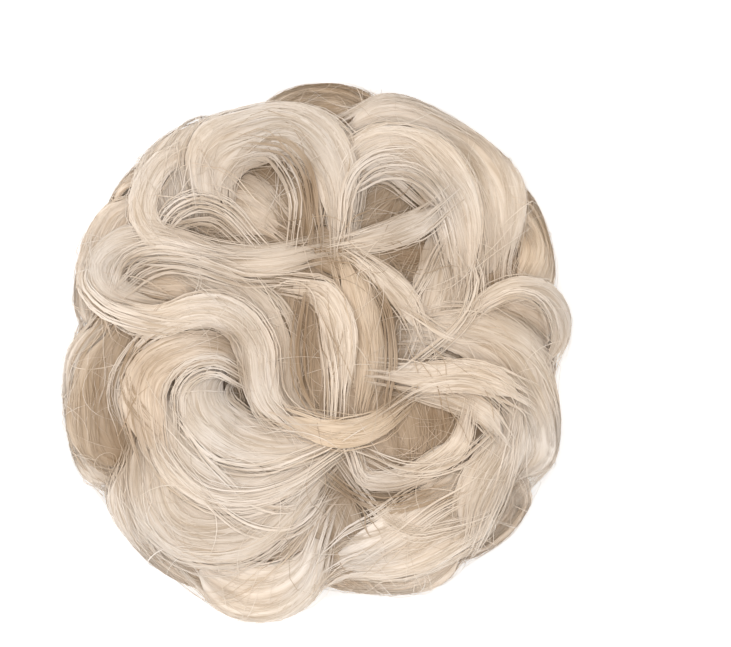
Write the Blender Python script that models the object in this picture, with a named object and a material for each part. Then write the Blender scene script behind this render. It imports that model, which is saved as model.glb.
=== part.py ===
"""Top knot hairpiece: a messy curled bun of locks over a hollow base of under-hair.

Every lock is a soft strap of hair, laid over what is already there. The locks are listed
from the bottom to the top. Each one rests on a height field that holds the top of all the
hair below it, and is then added to that field.
"""
import math

import bpy
import numpy as np

# Driving dimensions, in metres.
BUN_WIDTH = 0.150          # across the finished bun, left to right
BUN_LENGTH = 0.157         # across the finished bun, front to back
BUN_HEIGHT = 0.066         # from the flat underside to the top of the crown
RIM_LAYER = 0.0135         # from the base's rim to the bun's outline
CROWN_LAYER = 0.0190       # from the base's crown to the bun's top
RIM_HEIGHT = 0.0250        # the base's widest line above its underside
UNDERSIDE_INSET = 0.0120   # how far the flat underside stops inside the rim
LOCK_GAP = 0.0004          # clearance between a lock and the hair below it
TOP_ROUNDNESS = 2.3        # exponent of the base's upper curve, 2 for an ellipse
SIDE_ROUNDNESS = 2.2       # exponent of the base's lower curve

# The hollow for the wearer's own bun, and the elastic that grips it.
HOLLOW_RADIUS = 0.0235
HOLLOW_DEPTH = 0.0290
HOLLOW_ROOF = (            # the hollow's rounded roof, as shares of its radius and depth
    # radius, depth
    (1.00, 0.72),
    (0.82, 0.92),
    (0.45, 1.00),
)
BAND_SECTION_RADIUS = 0.0028
BAND_HEIGHT = 0.0080       # the band's middle above the underside
BAND_CLEARANCE = 0.0004
GROOVE_EASE = 1.08         # how much a groove of flat facets is cut larger than a round one
ROUND_SEGMENTS = 36
BAND_SIDES = 8
OUTER_RINGS = 11           # rings of points from the crown to the edge of the underside

# How the locks are divided into faces.
SECTION_SPACING = 0.0082   # along a lock
FINE_STEPS = 6             # steps between two sections when the hair below is felt
FIELD_CELL = 0.0007        # the height field's grid
FIELD_REACH = 1.62         # the field's half-side, in rim distances
FELT_COLUMNS = 21          # points across a lock where the hair below is felt
FELT_PAST_EDGE = 1.12      # how far out those points reach, in half-widths
CURVE_POINTS = 240         # points on each half of the base's curve
UNROLLED_POINTS = 160      # points on the unrolled base from the crown to its edge
NORMAL_SMOOTHING = 6       # rounds of smoothing of the base's directions
ROUTE_STEPS = 24           # steps between two stations before a route is spaced evenly

# How a lock lies.
CLIMB_ALONG = 0.80         # steepest rise along a lock, as a slope
CLIMB_ACROSS = 0.90        # steepest rise across a lock
PRESSED_BY_COVER = 1.0     # how much each lock above flattens a lock
PAST_RIM = 1.5             # how far a route runs round under the rim, for each step past it
SETTLING_ROUNDS = 2        # times that a route is moved under what is seen from above
EDGE_UP = 0.40             # an edge's height over the hair below, as a share of the thickness
THINNEST = 0.60            # what smoothing leaves of a lock's thickness, as a share
TOP_SMOOTHING = 2          # rounds of smoothing along a lock's top
FELT_ACROSS = 0.66         # how far across the hair below is felt from each point of the ring
END_WIDTH = 0.35           # width at a lock's very end, as a share of its width near by
END_ROOM = 0.0005          # what an end cap bulges past its last section
FLOOR_CLEARANCE = 0.0004   # the lowest that a lock hangs over what the bun rests on
TIGHTEST_BEND = 0.80       # half-width at a bend, as a share of the bend's radius
SWELL = 0.80               # how quickly a lock widens from its ends to its middle
LOWER_END = 0.60           # half-width at the ends of the lower tier's locks, as a share

# The section of a lock, as a ring of points: across is a share of the half-width, up is a
# share of the thickness, and below says which points lie on the hair below.
SECTION = (
    # across, up, below
    (-1.00, 0.36, False),
    (-0.64, 0.86, False),
    (0.00, 1.00, False),
    (0.64, 0.86, False),
    (1.00, 0.36, False),
    (0.64, 0.00, True),
    (0.00, 0.00, True),
    (-0.64, 0.00, True),
)

# Plan shares in the tables are hundredths of the bun's half-length, x to the right and y to
# the back. The outermost locks reach this far in them.
REACH_ACROSS = 0.965
REACH_ALONG = 1.015

# Half-widths and thicknesses are hundredths of the bun's half-length too. The lower tier's
# ring is how far from the crown its locks lie, as a share of the way to the rim.
LOWER_TIER = (
    # name, angle, sweep, ring, sway, half-width, thickness
    ("lower_lock_right", 0, 64, 1.18, 0.04, 13.5, 7),
    ("lower_lock_back_right", 52, 62, 1.20, -0.04, 13, 6),
    ("lower_lock_back", 103, 62, 1.17, 0.05, 13.5, 7),
    ("lower_lock_back_left", 154, 60, 1.20, -0.03, 13, 6),
    ("lower_lock_left", 205, 62, 1.18, 0.04, 13.5, 7),
    ("lower_lock_front_left", 257, 62, 1.20, -0.05, 13, 6),
    ("lower_lock_front", 308, 60, 1.18, 0.04, 13.5, 7),
)

LOCKS = (
    # name, tone, half-widths at root, middle and tip, thickness, stations along the lock
    ("back_under_lock", "brown", (8, 12, 8), 11,
     ((-21, 87), (-5, 94), (11, 94), (26, 86))),
    ("left_back_rim_curl", "beige", (6, 9, 5), 7.5,
     ((-31, 88), (-48, 85), (-58, 75), (-64, 61))),
    ("left_rim_curl", "beige", (5, 8, 5), 6.5,
     ((-59, 70), (-70, 63), (-78, 52), (-80, 40))),
    ("left_pale_curl", "pale", (5, 8, 6), 6.5,
     ((-80, 45), (-87, 27), (-89, 8))),
    ("right_back_sliver", "beige", (6, 10, 7), 12,
     ((46, 87), (63, 78), (75, 60))),
    ("right_beige_curl", "warm", (6, 10, 8), 6,
     ((66, 58), (81, 50), (87, 36), (86, 16))),
    ("front_right_curl", "beige", (6, 10, 7), 15,
     ((72, -46), (74, -58), (67, -69), (53, -76), (38, -79))),
    ("front_curl", "beige", (7.5, 12, 7), 13.5,
     ((54, -73), (40, -82), (21, -88), (-3, -88))),
    ("front_left_curl", "beige", (8, 10, 8), 16,
     ((-76, -47), (-69, -63), (-59, -76), (-42, -85))),
    ("left_front_rim_lock", "ash", (8, 11, 8), 12.5,
     ((-82, 8), (-87, -8), (-88, -23), (-84, -38), (-74, -52))),
    ("left_under_hair", "brown", (8, 12, 8), 4.5,
     ((-72, 6), (-76, -12), (-76, -30), (-68, -44))),
    ("centre_under_hair", "brown", (8, 12, 8), 4.5,
     ((-5, 22), (-5, 0), (-4, -20), (2, -36))),
    ("right_under_fan", "brown", (6, 15, 10), 4.5,
     ((34, 2), (40, -14), (43, -28), (41, -44))),
    ("front_under_hair", "brown", (8, 13, 9), 4.5,
     ((0, -46), (4, -62), (9, -77), (17, -88))),
    ("back_right_fan", "brown", (5, 15, 12), 4.5,
     ((10, 41), (23, 50), (37, 58))),
    ("right_brown_fan", "brown", (5, 9, 6), 4.5,
     ((14, 33), (32, 35), (48, 34))),
    ("right_fall_lock", "ash", (8, 12, 6), 5,
     ((52, 50), (50, 31), (46, 13), (38, -5))),
    ("right_loop_floor", "beige", (6, 9, 5), 4.5,
     ((60, 13), (75, 14), (87, 9), (92, -3))),
    ("centre_knot_lock", "brown", (5, 9, 6), 4.5,
     ((-14, 41), (3, 37), (19, 30), (30, 20))),
    ("left_loop_floor", "beige", (6, 10, 6), 4.5,
     ((-74, 27), (-58, 27), (-38, 24))),
    ("left_inner_petal", "beige", (8, 13, 8), 4.5,
     ((-58, 49), (-42, 55), (-27, 53), (-14, 44))),
    ("right_ash_lock", "ash", (6, 12, 8), 5.5,
     ((40, 6), (59, 5), (73, -5), (80, -20), (79, -34), (72, -46))),
    ("back_right_outer_lock", "ash", (8, 13, 9), 7.5,
     ((12, 81), (28, 81), (43, 74), (55, 62), (63, 48), (66, 28))),
    ("left_back_arch", "beige", (5, 8, 4), 5.5,
     ((-60, 52), (-71, 46), (-78, 35), (-80, 22), (-75, 12))),
    ("front_left_outer_fan", "beige", (8, 11, 6), 7,
     ((-63, -45), (-57, -70), (-38, -81), (-15, -77), (3, -60))),
    ("front_bottom_loop", "pale", (5, 8.5, 5), 12,
     ((-43, -84), (-30, -91), (-15, -92), (-4, -86), (1, -74))),
    ("left_pale_lock", "pale", (5, 8, 5), 6,
     ((-65, -40), (-65, -57), (-57, -75))),
    ("front_right_diagonal", "pale", (6, 10, 6), 6,
     ((67, -38), (58, -54), (43, -66), (26, -75), (9, -82))),
    ("right_inner_lock", "ash", (4, 6.5, 5), 4.5,
     ((74, -22), (70, -38), (60, -53), (57, -69))),
    ("front_left_middle_fan", "ash", (6, 10, 5), 6,
     ((-58, -27), (-55, -53), (-40, -65), (-17, -62), (4, -45))),
    ("back_left_broad_lock", "ash", (6, 11, 6), 5,
     ((-40, 80), (-50, 69), (-54, 56), (-49, 44))),
    ("back_right_inner_lock", "pale", (5, 8, 5), 6,
     ((11, 44), (11, 60), (20, 71), (33, 72), (46, 63), (53, 47), (56, 26))),
    ("arch_inner_lock", "brown", (5, 7, 5), 5,
     ((-27, 72), (-15, 77), (-6, 68), (-2, 55), (-3, 41))),
    ("front_left_inner_fan", "pale", (5, 9, 4), 5.5,
     ((-52, -17), (-50, -36), (-34, -48), (-13, -47), (6, -37))),
    ("right_loop", "ash", (3.5, 4, 3.5), 5,
     ((58, 12), (70, 21), (85, 20), (93, 8), (90, -6))),
    ("centre_broad_lock", "ash", (5, 9, 5), 5,
     ((-48, 29), (-32, 21), (-20, 8), (-15, -9), (-13, -23), (9, -35))),
    ("right_beige_strand", "warm", (4, 7, 5), 5,
     ((11, 31), (17, 14), (19, -5), (17, -22))),
    ("front_left_core_fan", "ash", (6, 8, 4), 5,
     ((-34, -6), (-41, -17), (-35, -29), (-20, -36), (-6, -37), (9, -34))),
    ("left_swirl", "beige", (4, 6.5, 5), 5.5,
     ((-26, -14), (-30, -4), (-42, 0), (-55, -5), (-63, -16), (-60, -39))),
    ("left_loop", "ash", (5, 5.5, 4), 6,
     ((0, 35), (-18, 32), (-38, 33), (-58, 38), (-73, 36), (-79, 27), (-72, 18), (-57, 15))),
    ("left_white_curl", "pale", (2.5, 4.5, 3), 5,
     ((-44, 75), (-56, 70), (-62, 60), (-63, 49), (-58, 41), (-47, 38), (-36, 34))),
    ("left_long_curl", "pale", (4, 6, 4), 5.5,
     ((-76, 15), (-61, 9), (-44, 12), (-30, 11), (-21, 0), (-19, -17), (-10, -29))),
    ("back_arch", "ash", (7, 9.5, 5), 6,
     ((-39, 53), (-37, 66), (-28, 76), (-12, 82), (2, 76), (8, 61), (9, 44))),
    ("back_cross_strand", "ash", (3, 5, 4), 5,
     ((11, 38), (25, 41), (38, 45), (47, 52))),
    ("centre_cross_lock", "warm", (3.5, 5, 4), 5,
     ((-10, -27), (5, -32), (20, -31), (32, -22))),
    ("right_bright_strand", "pale", (3, 4.5, 4), 5,
     ((16, 33), (26, 25), (33, 17), (38, 8))),
    ("right_lower_strand", "ash", (4, 5, 4), 5,
     ((31, -15), (47, -18), (61, -24), (69, -33))),
    ("right_bright_lock", "pale", (4, 5.5, 6), 5.5,
     ((26, -10), (43, -11), (61, -11), (75, -17))),
    ("centre_bright_lock", "pale", (4, 6, 4), 6,
     ((-8, 22), (2, 20), (8, 10), (10, -3), (9, -18))),
    ("crescent_lock", "pale", (2.5, 4, 3), 5,
     ((57, -25), (53, -36), (42, -45), (28, -50), (18, -49), (14, -40))),
)

TONES = {
    # tone: base colour, roughness
    "pale": ((0.80, 0.72, 0.62), 0.42),
    "ash": ((0.62, 0.55, 0.48), 0.45),
    "beige": ((0.64, 0.53, 0.42), 0.45),
    "warm": ((0.66, 0.52, 0.37), 0.45),
    "brown": ((0.40, 0.30, 0.21), 0.55),
    "elastic": ((0.30, 0.22, 0.15), 0.80),
}

# Sizes worked out from the driving dimensions.
SHARE_UNIT = BUN_LENGTH / 2 / REACH_ALONG
BUN_SQUEEZE = (BUN_WIDTH / REACH_ACROSS) / (BUN_LENGTH / REACH_ALONG)
RIM_RADIUS = BUN_LENGTH / 2 - RIM_LAYER
BASE_TOP = BUN_HEIGHT - CROWN_LAYER
UNDERSIDE_RADIUS = RIM_RADIUS - UNDERSIDE_INSET
HUNDREDTH = SHARE_UNIT / 100


def clear_scene():
    for thing in list(bpy.data.objects):
        bpy.data.objects.remove(thing, do_unlink=True)


def base_curve():
    """The base's outer curve from the crown to the underside's edge, as radius and height.

    The upper part is a quarter of a superellipse from the crown to the rim, and the lower
    part another from the rim to the edge of the flat underside.
    """
    turn = np.linspace(0, math.pi / 2, CURVE_POINTS)
    up_r = RIM_RADIUS * np.sin(turn) ** (2 / TOP_ROUNDNESS)
    up_z = RIM_HEIGHT + (BASE_TOP - RIM_HEIGHT) * np.cos(turn) ** (2 / TOP_ROUNDNESS)
    down_r = UNDERSIDE_RADIUS + UNDERSIDE_INSET * np.cos(turn) ** (2 / SIDE_ROUNDNESS)
    down_z = RIM_HEIGHT - RIM_HEIGHT * np.sin(turn) ** (2 / SIDE_ROUNDNESS)
    radius = np.concatenate([up_r, down_r[1:]])
    height = np.concatenate([up_z, down_z[1:]])
    return radius, height


class Dome:
    """The base's outer surface, unrolled: a point is a distance from the crown and a bearing."""

    def __init__(self):
        radius, height = base_curve()
        step = np.hypot(np.diff(radius), np.diff(height))
        reach = np.concatenate([[0], np.cumsum(step)])
        self.rim = reach[CURVE_POINTS - 1]
        self.reach = np.linspace(0, reach[-1], UNROLLED_POINTS)
        self.radius = np.interp(self.reach, reach, radius)
        self.height = np.interp(self.reach, reach, height)
        out = np.gradient(self.height, self.reach)
        along = np.gradient(self.radius, self.reach)
        size = np.hypot(out, along)
        self.normal_r = smoothed(-out / size, NORMAL_SMOOTHING)
        self.normal_z = smoothed(along / size, NORMAL_SMOOTHING)
        self.normal_r[0], self.normal_z[0] = 0.0, 1.0

    def place(self, x, y, lift):
        """Turn an unrolled point and a height over the base into a point in space."""
        reach = np.hypot(x, y)
        radius = np.interp(reach, self.reach, self.radius)
        height = np.interp(reach, self.reach, self.height)
        out = np.interp(reach, self.reach, self.normal_r)
        up = np.interp(reach, self.reach, self.normal_z)
        away = radius + lift * out
        bearing = np.arctan2(y, x)
        return np.stack([away * np.cos(bearing), away * np.sin(bearing), height + lift * up], -1)

    def unroll(self, plan, lift):
        """Turn plan positions, as seen from above, into unrolled points that far below them."""
        upper = self.reach <= self.rim
        away = np.hypot(plan[:, 0], plan[:, 1])
        reach = np.zeros(len(plan))
        for i, (distance, height) in enumerate(zip(away, lift)):
            seen = np.maximum.accumulate(self.radius[upper] + height * self.normal_r[upper])
            reach[i] = np.interp(distance, seen, self.reach[upper])
            reach[i] += max(distance - seen[-1], 0) * PAST_RIM
        return plan * (reach / np.maximum(away, 1e-9))[:, None]


def smoothed(values, rounds):
    """Average each value with its neighbours, a few rounds over."""
    for _ in range(rounds):
        padded = np.concatenate([values[:1], values, values[-1:]])
        values = (padded[:-2] + 2 * values + padded[2:]) / 4
    return values


def smooth_route(stations, spacing):
    """A Catmull-Rom curve through the stations, with evenly spaced points."""
    points = np.array(stations, float)
    before = 2 * points[0] - points[1]
    after = 2 * points[-1] - points[-2]
    knots = np.vstack([before, points, after])
    t = np.linspace(0, 1, ROUTE_STEPS, endpoint=False)[:, None]
    runs = []
    for a, b, c, d in zip(knots, knots[1:], knots[2:], knots[3:]):
        runs.append(0.5 * (2 * b + (c - a) * t + (2 * a - 5 * b + 4 * c - d) * t ** 2
                           + (3 * b - a - 3 * c + d) * t ** 3))
    curve = np.vstack(runs + [points[-1:]])
    length = np.concatenate([[0], np.cumsum(np.hypot(*np.diff(curve, axis=0).T))])
    count = max(5, round(length[-1] / spacing) + 1)
    even = np.linspace(0, length[-1], count)
    return np.stack([np.interp(even, length, curve[:, 0]), np.interp(even, length, curve[:, 1])], -1)


def side_directions(route):
    """The unit vector to the left of the route at each point, and the bend's radius there."""
    ahead = np.gradient(route, axis=0)
    size = np.hypot(ahead[:, 0], ahead[:, 1])
    ahead = ahead / size[:, None]
    turn = np.gradient(ahead, axis=0)
    radius = size / np.maximum(np.hypot(turn[:, 0], turn[:, 1]), 1e-6)
    return np.stack([-ahead[:, 1], ahead[:, 0]], -1), radius


def widths_along(count, root, middle, tip):
    """Half-width along a lock: root, middle and tip joined by a smooth curve, ends rounded."""
    t = np.linspace(0, 1, count)
    ends = root + (tip - root) * t
    swell = np.sin(math.pi * t) ** SWELL
    width = ends + (middle - (root + tip) / 2) * swell
    edge = np.minimum(np.arange(count), np.arange(count)[::-1])
    width[edge == 0] *= END_WIDTH
    width[edge == 1] *= (1 + END_WIDTH * 2) / (1 + END_WIDTH * 2.4)
    return width


class HairField:
    """The height over the base of all the hair that is already laid, on an unrolled grid."""

    def __init__(self, dome):
        self.half = FIELD_REACH * dome.rim
        self.count = int(2 * self.half / FIELD_CELL) + 1
        self.top = np.full((self.count, self.count), LOCK_GAP)

    def cells(self, x, y):
        column = np.clip(((x + self.half) / FIELD_CELL).round().astype(int), 1, self.count - 2)
        row = np.clip(((y + self.half) / FIELD_CELL).round().astype(int), 1, self.count - 2)
        return row, column

    def felt(self, x, y):
        return self.top[self.cells(x, y)]

    def mark(self, x, y, value):
        """A grid that holds the values at the cells they fall in, spread by one cell."""
        layer = np.zeros_like(self.top)
        np.maximum.at(layer, self.cells(x, y), value)
        for axis in (0, 1):
            layer = np.maximum(layer, np.maximum(np.roll(layer, 1, axis), np.roll(layer, -1, axis)))
        return layer


def tent(values, slope, spacing, axis):
    """Raise values so that no two neighbours along the axis differ by more than the slope."""
    values = np.moveaxis(values.copy(), axis, 0)
    for order in (range(1, len(values)), range(len(values) - 2, -1, -1)):
        for i in order:
            near = i - 1 if order.step == 1 else i + 1
            values[i] = np.maximum(values[i], values[near] - slope * spacing)
    return np.moveaxis(values, 0, axis)


ACROSS = np.array([across for across, _, below in SECTION if not below])


def on_facets(corners, t, u):
    """Values over the triangles between the sections, at steps t along and u across."""
    i = np.minimum(t.astype(int), len(corners) - 2)
    j = np.clip(np.searchsorted(ACROSS, u, side="right") - 1, 0, len(ACROSS) - 2)
    along = (t - i)[:, None]
    across = ((u - ACROSS[j]) / (ACROSS[j + 1] - ACROSS[j]))[None, :]
    near, far = corners[i], corners[i + 1]
    first = near[:, j] + along * (far[:, j] - near[:, j]) + across * (far[:, j + 1] - far[:, j])
    second = near[:, j] + across * (near[:, j + 1] - near[:, j]) + along * (far[:, j + 1] - near[:, j + 1])
    return np.where(along >= across, first, second)


class Lock:
    """One lock's route and widths on the unrolled base, and its draped sections."""

    def __init__(self, dome, name, tone, widths, thickness, route, seen_from_above):
        self.name = name
        self.tone = tone
        self.thickness = thickness * HUNDREDTH
        self.widths = widths
        self.dome = dome
        self.given = route
        self.seen_from_above = seen_from_above
        self.lie_at(np.full(len(route), RIM_LAYER / 2))

    def lie_at(self, lift):
        """Set the route for a height over the base at each section."""
        self.route = self.dome.unroll(self.given, lift) if self.seen_from_above else self.given
        self.side, bend = side_directions(self.route)
        width = widths_along(len(self.route), *self.widths) * HUNDREDTH
        self.width = np.minimum(width, TIGHTEST_BEND * bend)

    def fine_points(self, reach=1.0):
        """Points all over the lock's flat outline, FINE_STEPS to a section, and their grid."""
        steps = (len(self.route) - 1) * FINE_STEPS + 1
        t = np.linspace(0, len(self.route) - 1, steps)
        u = np.linspace(-reach, reach, FELT_COLUMNS)
        left = self.route + self.side * self.width[:, None]
        right = self.route - self.side * self.width[:, None]
        index = np.arange(len(self.route))
        ends = [np.interp(t, index, edge[:, k]) for edge in (left, right) for k in (0, 1)]
        lx, ly, rx, ry = (end[:, None] for end in ends)
        share = (1 + u) / 2
        return rx + (lx - rx) * share, ry + (ly - ry) * share, t, u

    def footprint(self, field):
        x, y, _, _ = self.fine_points()
        return field.mark(x.ravel(), y.ravel(), 1.0)

    def sag(self, x, y, t, u, height):
        """How far flat facets at this height over the base cut below the curve between them."""
        lift = np.full(len(self.route), height)
        columns = []
        for across in ACROSS:
            place = self.route + self.side * (self.width * across)[:, None]
            columns.append(self.dome.place(place[:, 0], place[:, 1], lift))
        corners = np.stack(columns, 1)
        flat = np.stack([on_facets(corners[..., k], t, np.clip(u, -1, 1)) for k in range(3)], -1)
        curved = self.dome.place(x, y, np.full(x.shape, height))
        outward = self.dome.place(x, y, np.full(x.shape, height + 1.0)) - curved
        return np.sum((curved - flat) * outward, axis=-1) * (np.abs(u) <= 1.0)

    def drape(self, field, cover):
        """Lay the lock on the field: its underside follows the hair below, its top is smoother."""
        x, y, t, u = self.fine_points(FELT_PAST_EDGE)
        felt = field.felt(x, y)
        felt = felt + self.sag(x, y, t, u, felt.mean())
        pressed = cover[field.cells(x, y)]
        count = len(self.route)
        self.under = np.zeros((count, len(ACROSS)))
        flat = np.zeros((count, len(ACROSS)))
        for i in range(count):
            near_t = np.abs(t - i) < 1 + 0.5 / FINE_STEPS
            for j, across in enumerate(ACROSS):
                window = np.ix_(near_t, np.abs(u - across) <= FELT_ACROSS)
                self.under[i, j] = felt[window].max()
                flat[i, j] = pressed[window].mean()
        rest = tent(self.under, CLIMB_ALONG, SECTION_SPACING, 0)
        rest = tent(rest, CLIMB_ACROSS, self.width.mean() * ACROSS[3], 1)
        swell = (self.width / self.width.max()) ** 0.5
        thick = self.thickness * swell[:, None] / (1 + PRESSED_BY_COVER * flat)
        up = np.array([up for _, up, below in SECTION if not below])
        self.over = smoothed(rest + thick * up, TOP_SMOOTHING)
        self.over = np.maximum(self.over, self.under + thick * up * THINNEST)
        self.over[:, [0, -1]] = self.under[:, [0, -1]] + thick[:, [0, -1]] * EDGE_UP
        self.seat(felt, t, u)

    def seat(self, felt, t, u):
        """Lower the lock until its underside just clears the hair below at one point."""
        inside = np.abs(u) <= 1.0
        below = self.under.copy()
        below[:, [0, -1]] = self.over[:, [0, -1]]
        plain = on_facets(below, t, u[inside])
        mirrored = on_facets(below[:, ::-1], t, -u[inside][::-1])[:, ::-1]
        room = (np.minimum(plain, mirrored) - felt[:, inside]).min()
        self.under -= room
        self.over -= room

    def raise_field(self, field):
        """Add the lock's top to the field, with the clearance that the next lock keeps."""
        x, y, t, u = self.fine_points()
        whole = on_facets(self.over, t, u) - self.sag(x, y, t, u, self.over.mean())
        layer = field.mark(x.ravel(), y.ravel(), whole.ravel() + LOCK_GAP)
        field.top = np.maximum(field.top, layer)

    def rings(self):
        """The lock's rings of points in space, one for each section."""
        rings = []
        for across, _, below in SECTION:
            place = self.route + self.side * (self.width * across)[:, None]
            heights = self.under if below else self.over
            lift = np.array([np.interp(across, ACROSS, row) for row in heights])
            rings.append(self.dome.place(place[:, 0], place[:, 1], lift))
        return np.stack(rings, 1)


def tube_mesh(name, rings):
    """A closed tube through the rings, with a point at the middle of each end."""
    count, sides, _ = rings.shape
    verts = rings.reshape(-1, 3)
    middle = rings.mean(axis=1)
    first = middle[0] + unit(middle[0] - middle[1]) * END_ROOM
    last = middle[-1] + unit(middle[-1] - middle[-2]) * END_ROOM
    verts = np.vstack([verts, first, last])
    faces = []
    for i in range(count - 1):
        for j in range(sides):
            k = (j + 1) % sides
            faces.append((i * sides + j, (i + 1) * sides + j, (i + 1) * sides + k))
            faces.append((i * sides + j, (i + 1) * sides + k, i * sides + k))
    for j in range(sides):
        k = (j + 1) % sides
        faces.append((count * sides, j, k))
        faces.append((count * sides + 1, (count - 1) * sides + k, (count - 1) * sides + j))
    mesh = bpy.data.meshes.new(name)
    mesh.from_pydata(verts.tolist(), [], faces)
    mesh.update()
    return mesh


def unit(vector):
    return vector / np.linalg.norm(vector)


def turned_mesh(profile, closed, squeezed_rings):
    """Turn a profile of radius and height round the Z axis, each ring squeezed or not."""
    verts = []
    for (radius, height), squeezed in zip(profile, squeezed_rings):
        factor = BUN_SQUEEZE if squeezed else 1.0
        for k in range(ROUND_SEGMENTS):
            bearing = 2 * math.pi * k / ROUND_SEGMENTS
            verts.append((radius * math.cos(bearing) * factor, radius * math.sin(bearing), height))
    rows = len(profile)
    faces = []
    for i in range(rows if closed else rows - 1):
        for k in range(ROUND_SEGMENTS):
            m = (k + 1) % ROUND_SEGMENTS
            n = (i + 1) % rows
            faces.append((i * ROUND_SEGMENTS + k, n * ROUND_SEGMENTS + k,
                          n * ROUND_SEGMENTS + m, i * ROUND_SEGMENTS + m))
    return verts, faces


def make_object(name, mesh, tone):
    colour, roughness = TONES[tone]
    material = bpy.data.materials.new(name)
    material.use_nodes = True
    shader = material.node_tree.nodes["Principled BSDF"]
    shader.inputs["Base Color"].default_value = (*colour, 1.0)
    shader.inputs["Roughness"].default_value = roughness
    mesh.materials.append(material)
    mesh.shade_smooth()
    thing = bpy.data.objects.new(name, mesh)
    bpy.context.scene.collection.objects.link(thing)
    return thing


def make_base():
    """The dome of under-hair: outer curve, flat underside, band groove and hollow."""
    radius, height = base_curve()
    reach = np.concatenate([[0], np.cumsum(np.hypot(np.diff(radius), np.diff(height)))])
    stops = np.linspace(0, reach[-1], OUTER_RINGS + 1)[1:]
    outer = [(np.interp(s, reach, radius), np.interp(s, reach, height)) for s in stops]
    groove_radius = (BAND_SECTION_RADIUS + BAND_CLEARANCE) * GROOVE_EASE
    groove = []
    for k in range(BAND_SIDES // 2 + 1):
        turn = -math.pi / 2 + math.pi * k / (BAND_SIDES // 2)
        groove.append((HOLLOW_RADIUS + groove_radius * math.cos(turn),
                       BAND_HEIGHT + groove_radius * math.sin(turn)))
    roof = [(HOLLOW_RADIUS * radius, HOLLOW_DEPTH * depth) for radius, depth in HOLLOW_ROOF]
    inner = [(HOLLOW_RADIUS, 0.0), *groove, *roof]
    profile = outer + inner
    squeezed_rings = [True] * len(outer) + [False] * len(inner)
    verts, faces = turned_mesh(profile, False, squeezed_rings)
    crown = len(verts)
    verts.append((0, 0, BASE_TOP))
    verts.append((0, 0, HOLLOW_DEPTH))
    last = (len(profile) - 1) * ROUND_SEGMENTS
    for k in range(ROUND_SEGMENTS):
        m = (k + 1) % ROUND_SEGMENTS
        faces.append((crown, k, m))
        faces.append((crown + 1, last + m, last + k))
    mesh = bpy.data.meshes.new("hair_base")
    mesh.from_pydata(verts, [], faces)
    return make_object("hair_base", mesh, "brown")


def make_band():
    """The elastic: a plain ring that lies half in the groove."""
    profile = []
    for k in range(BAND_SIDES):
        turn = 2 * math.pi * k / BAND_SIDES
        profile.append((HOLLOW_RADIUS + BAND_SECTION_RADIUS * math.cos(turn),
                        BAND_HEIGHT + BAND_SECTION_RADIUS * math.sin(turn)))
    verts, faces = turned_mesh(profile[::-1], True, [False] * BAND_SIDES)
    mesh = bpy.data.meshes.new("elastic_band")
    mesh.from_pydata(verts, [], faces)
    return make_object("elastic_band", mesh, "elastic")


def lower_tier_locks(dome):
    """Locks laid along the side, below the rim, each a gentle wave over its sweep."""
    locks = []
    for name, angle, sweep, ring, sway, half_width, thickness in LOWER_TIER:
        bearing = np.radians(angle + np.linspace(-0.5, 0.5, ROUTE_STEPS) * sweep)
        wave = ring + sway * np.sin(np.linspace(0, 2 * math.pi, ROUTE_STEPS))
        stations = np.stack([np.cos(bearing), np.sin(bearing)], -1) * wave[:, None]
        route = smooth_route(stations * dome.rim, SECTION_SPACING)
        widths = (half_width * LOWER_END, half_width, half_width * LOWER_END)
        locks.append(Lock(dome, name, "beige", widths, thickness, route, False))
    return locks


def listed_locks(dome):
    locks = []
    for name, tone, widths, thickness, stations in LOCKS:
        plan = smooth_route(np.array(stations, float) * HUNDREDTH, SECTION_SPACING)
        locks.append(Lock(dome, name, tone, widths, thickness, plan, True))
    return locks


def lay_locks(locks, field):
    """Drape the locks from the bottom to the top, each pressed by what lies over it."""
    prints = [lock.footprint(field) for lock in locks]
    cover = np.sum(prints, axis=0)
    for lock, own in zip(locks, prints):
        cover = cover - own
        for _ in range(SETTLING_ROUNDS):
            lock.drape(field, cover)
            lock.lie_at(smoothed((lock.over[:, 2] + lock.under[:, 2]) / 2, 2))
        lock.drape(field, cover)
        lock.raise_field(field)


def make_locks():
    dome = Dome()
    locks = lower_tier_locks(dome) + listed_locks(dome)
    lay_locks(locks, HairField(dome))
    things = []
    for lock in locks:
        rings = lock.rings()
        rings[..., 0] *= BUN_SQUEEZE
        rings[..., 2] = np.maximum(rings[..., 2], FLOOR_CLEARANCE)
        things.append(make_object(lock.name, tube_mesh(lock.name, rings), lock.tone))
    return things


def centre_on_bounds(things):
    """Move all the pieces together so that the origin is under the middle of the bun."""
    corners = np.array([v.co[:] for thing in things for v in thing.data.vertices])
    low, high = corners.min(axis=0), corners.max(axis=0)
    shift = ((low[0] + high[0]) / 2, (low[1] + high[1]) / 2, low[2])
    for thing in things:
        for vertex in thing.data.vertices:
            vertex.co = [a - b for a, b in zip(vertex.co, shift)]
        thing.data.update()


def main():
    clear_scene()
    things = [make_base(), make_band()]
    things += make_locks()
    centre_on_bounds(things)


main()
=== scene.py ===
"""Top knot hairpiece: a messy curled bun of blonde locks, dressed with fine strands.

The locks are laid on the base by the same rules as in the part's source. Each lock then gets a
smooth core and a skin of single strands that run along it, gathered into clumps.
"""
import math

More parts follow.
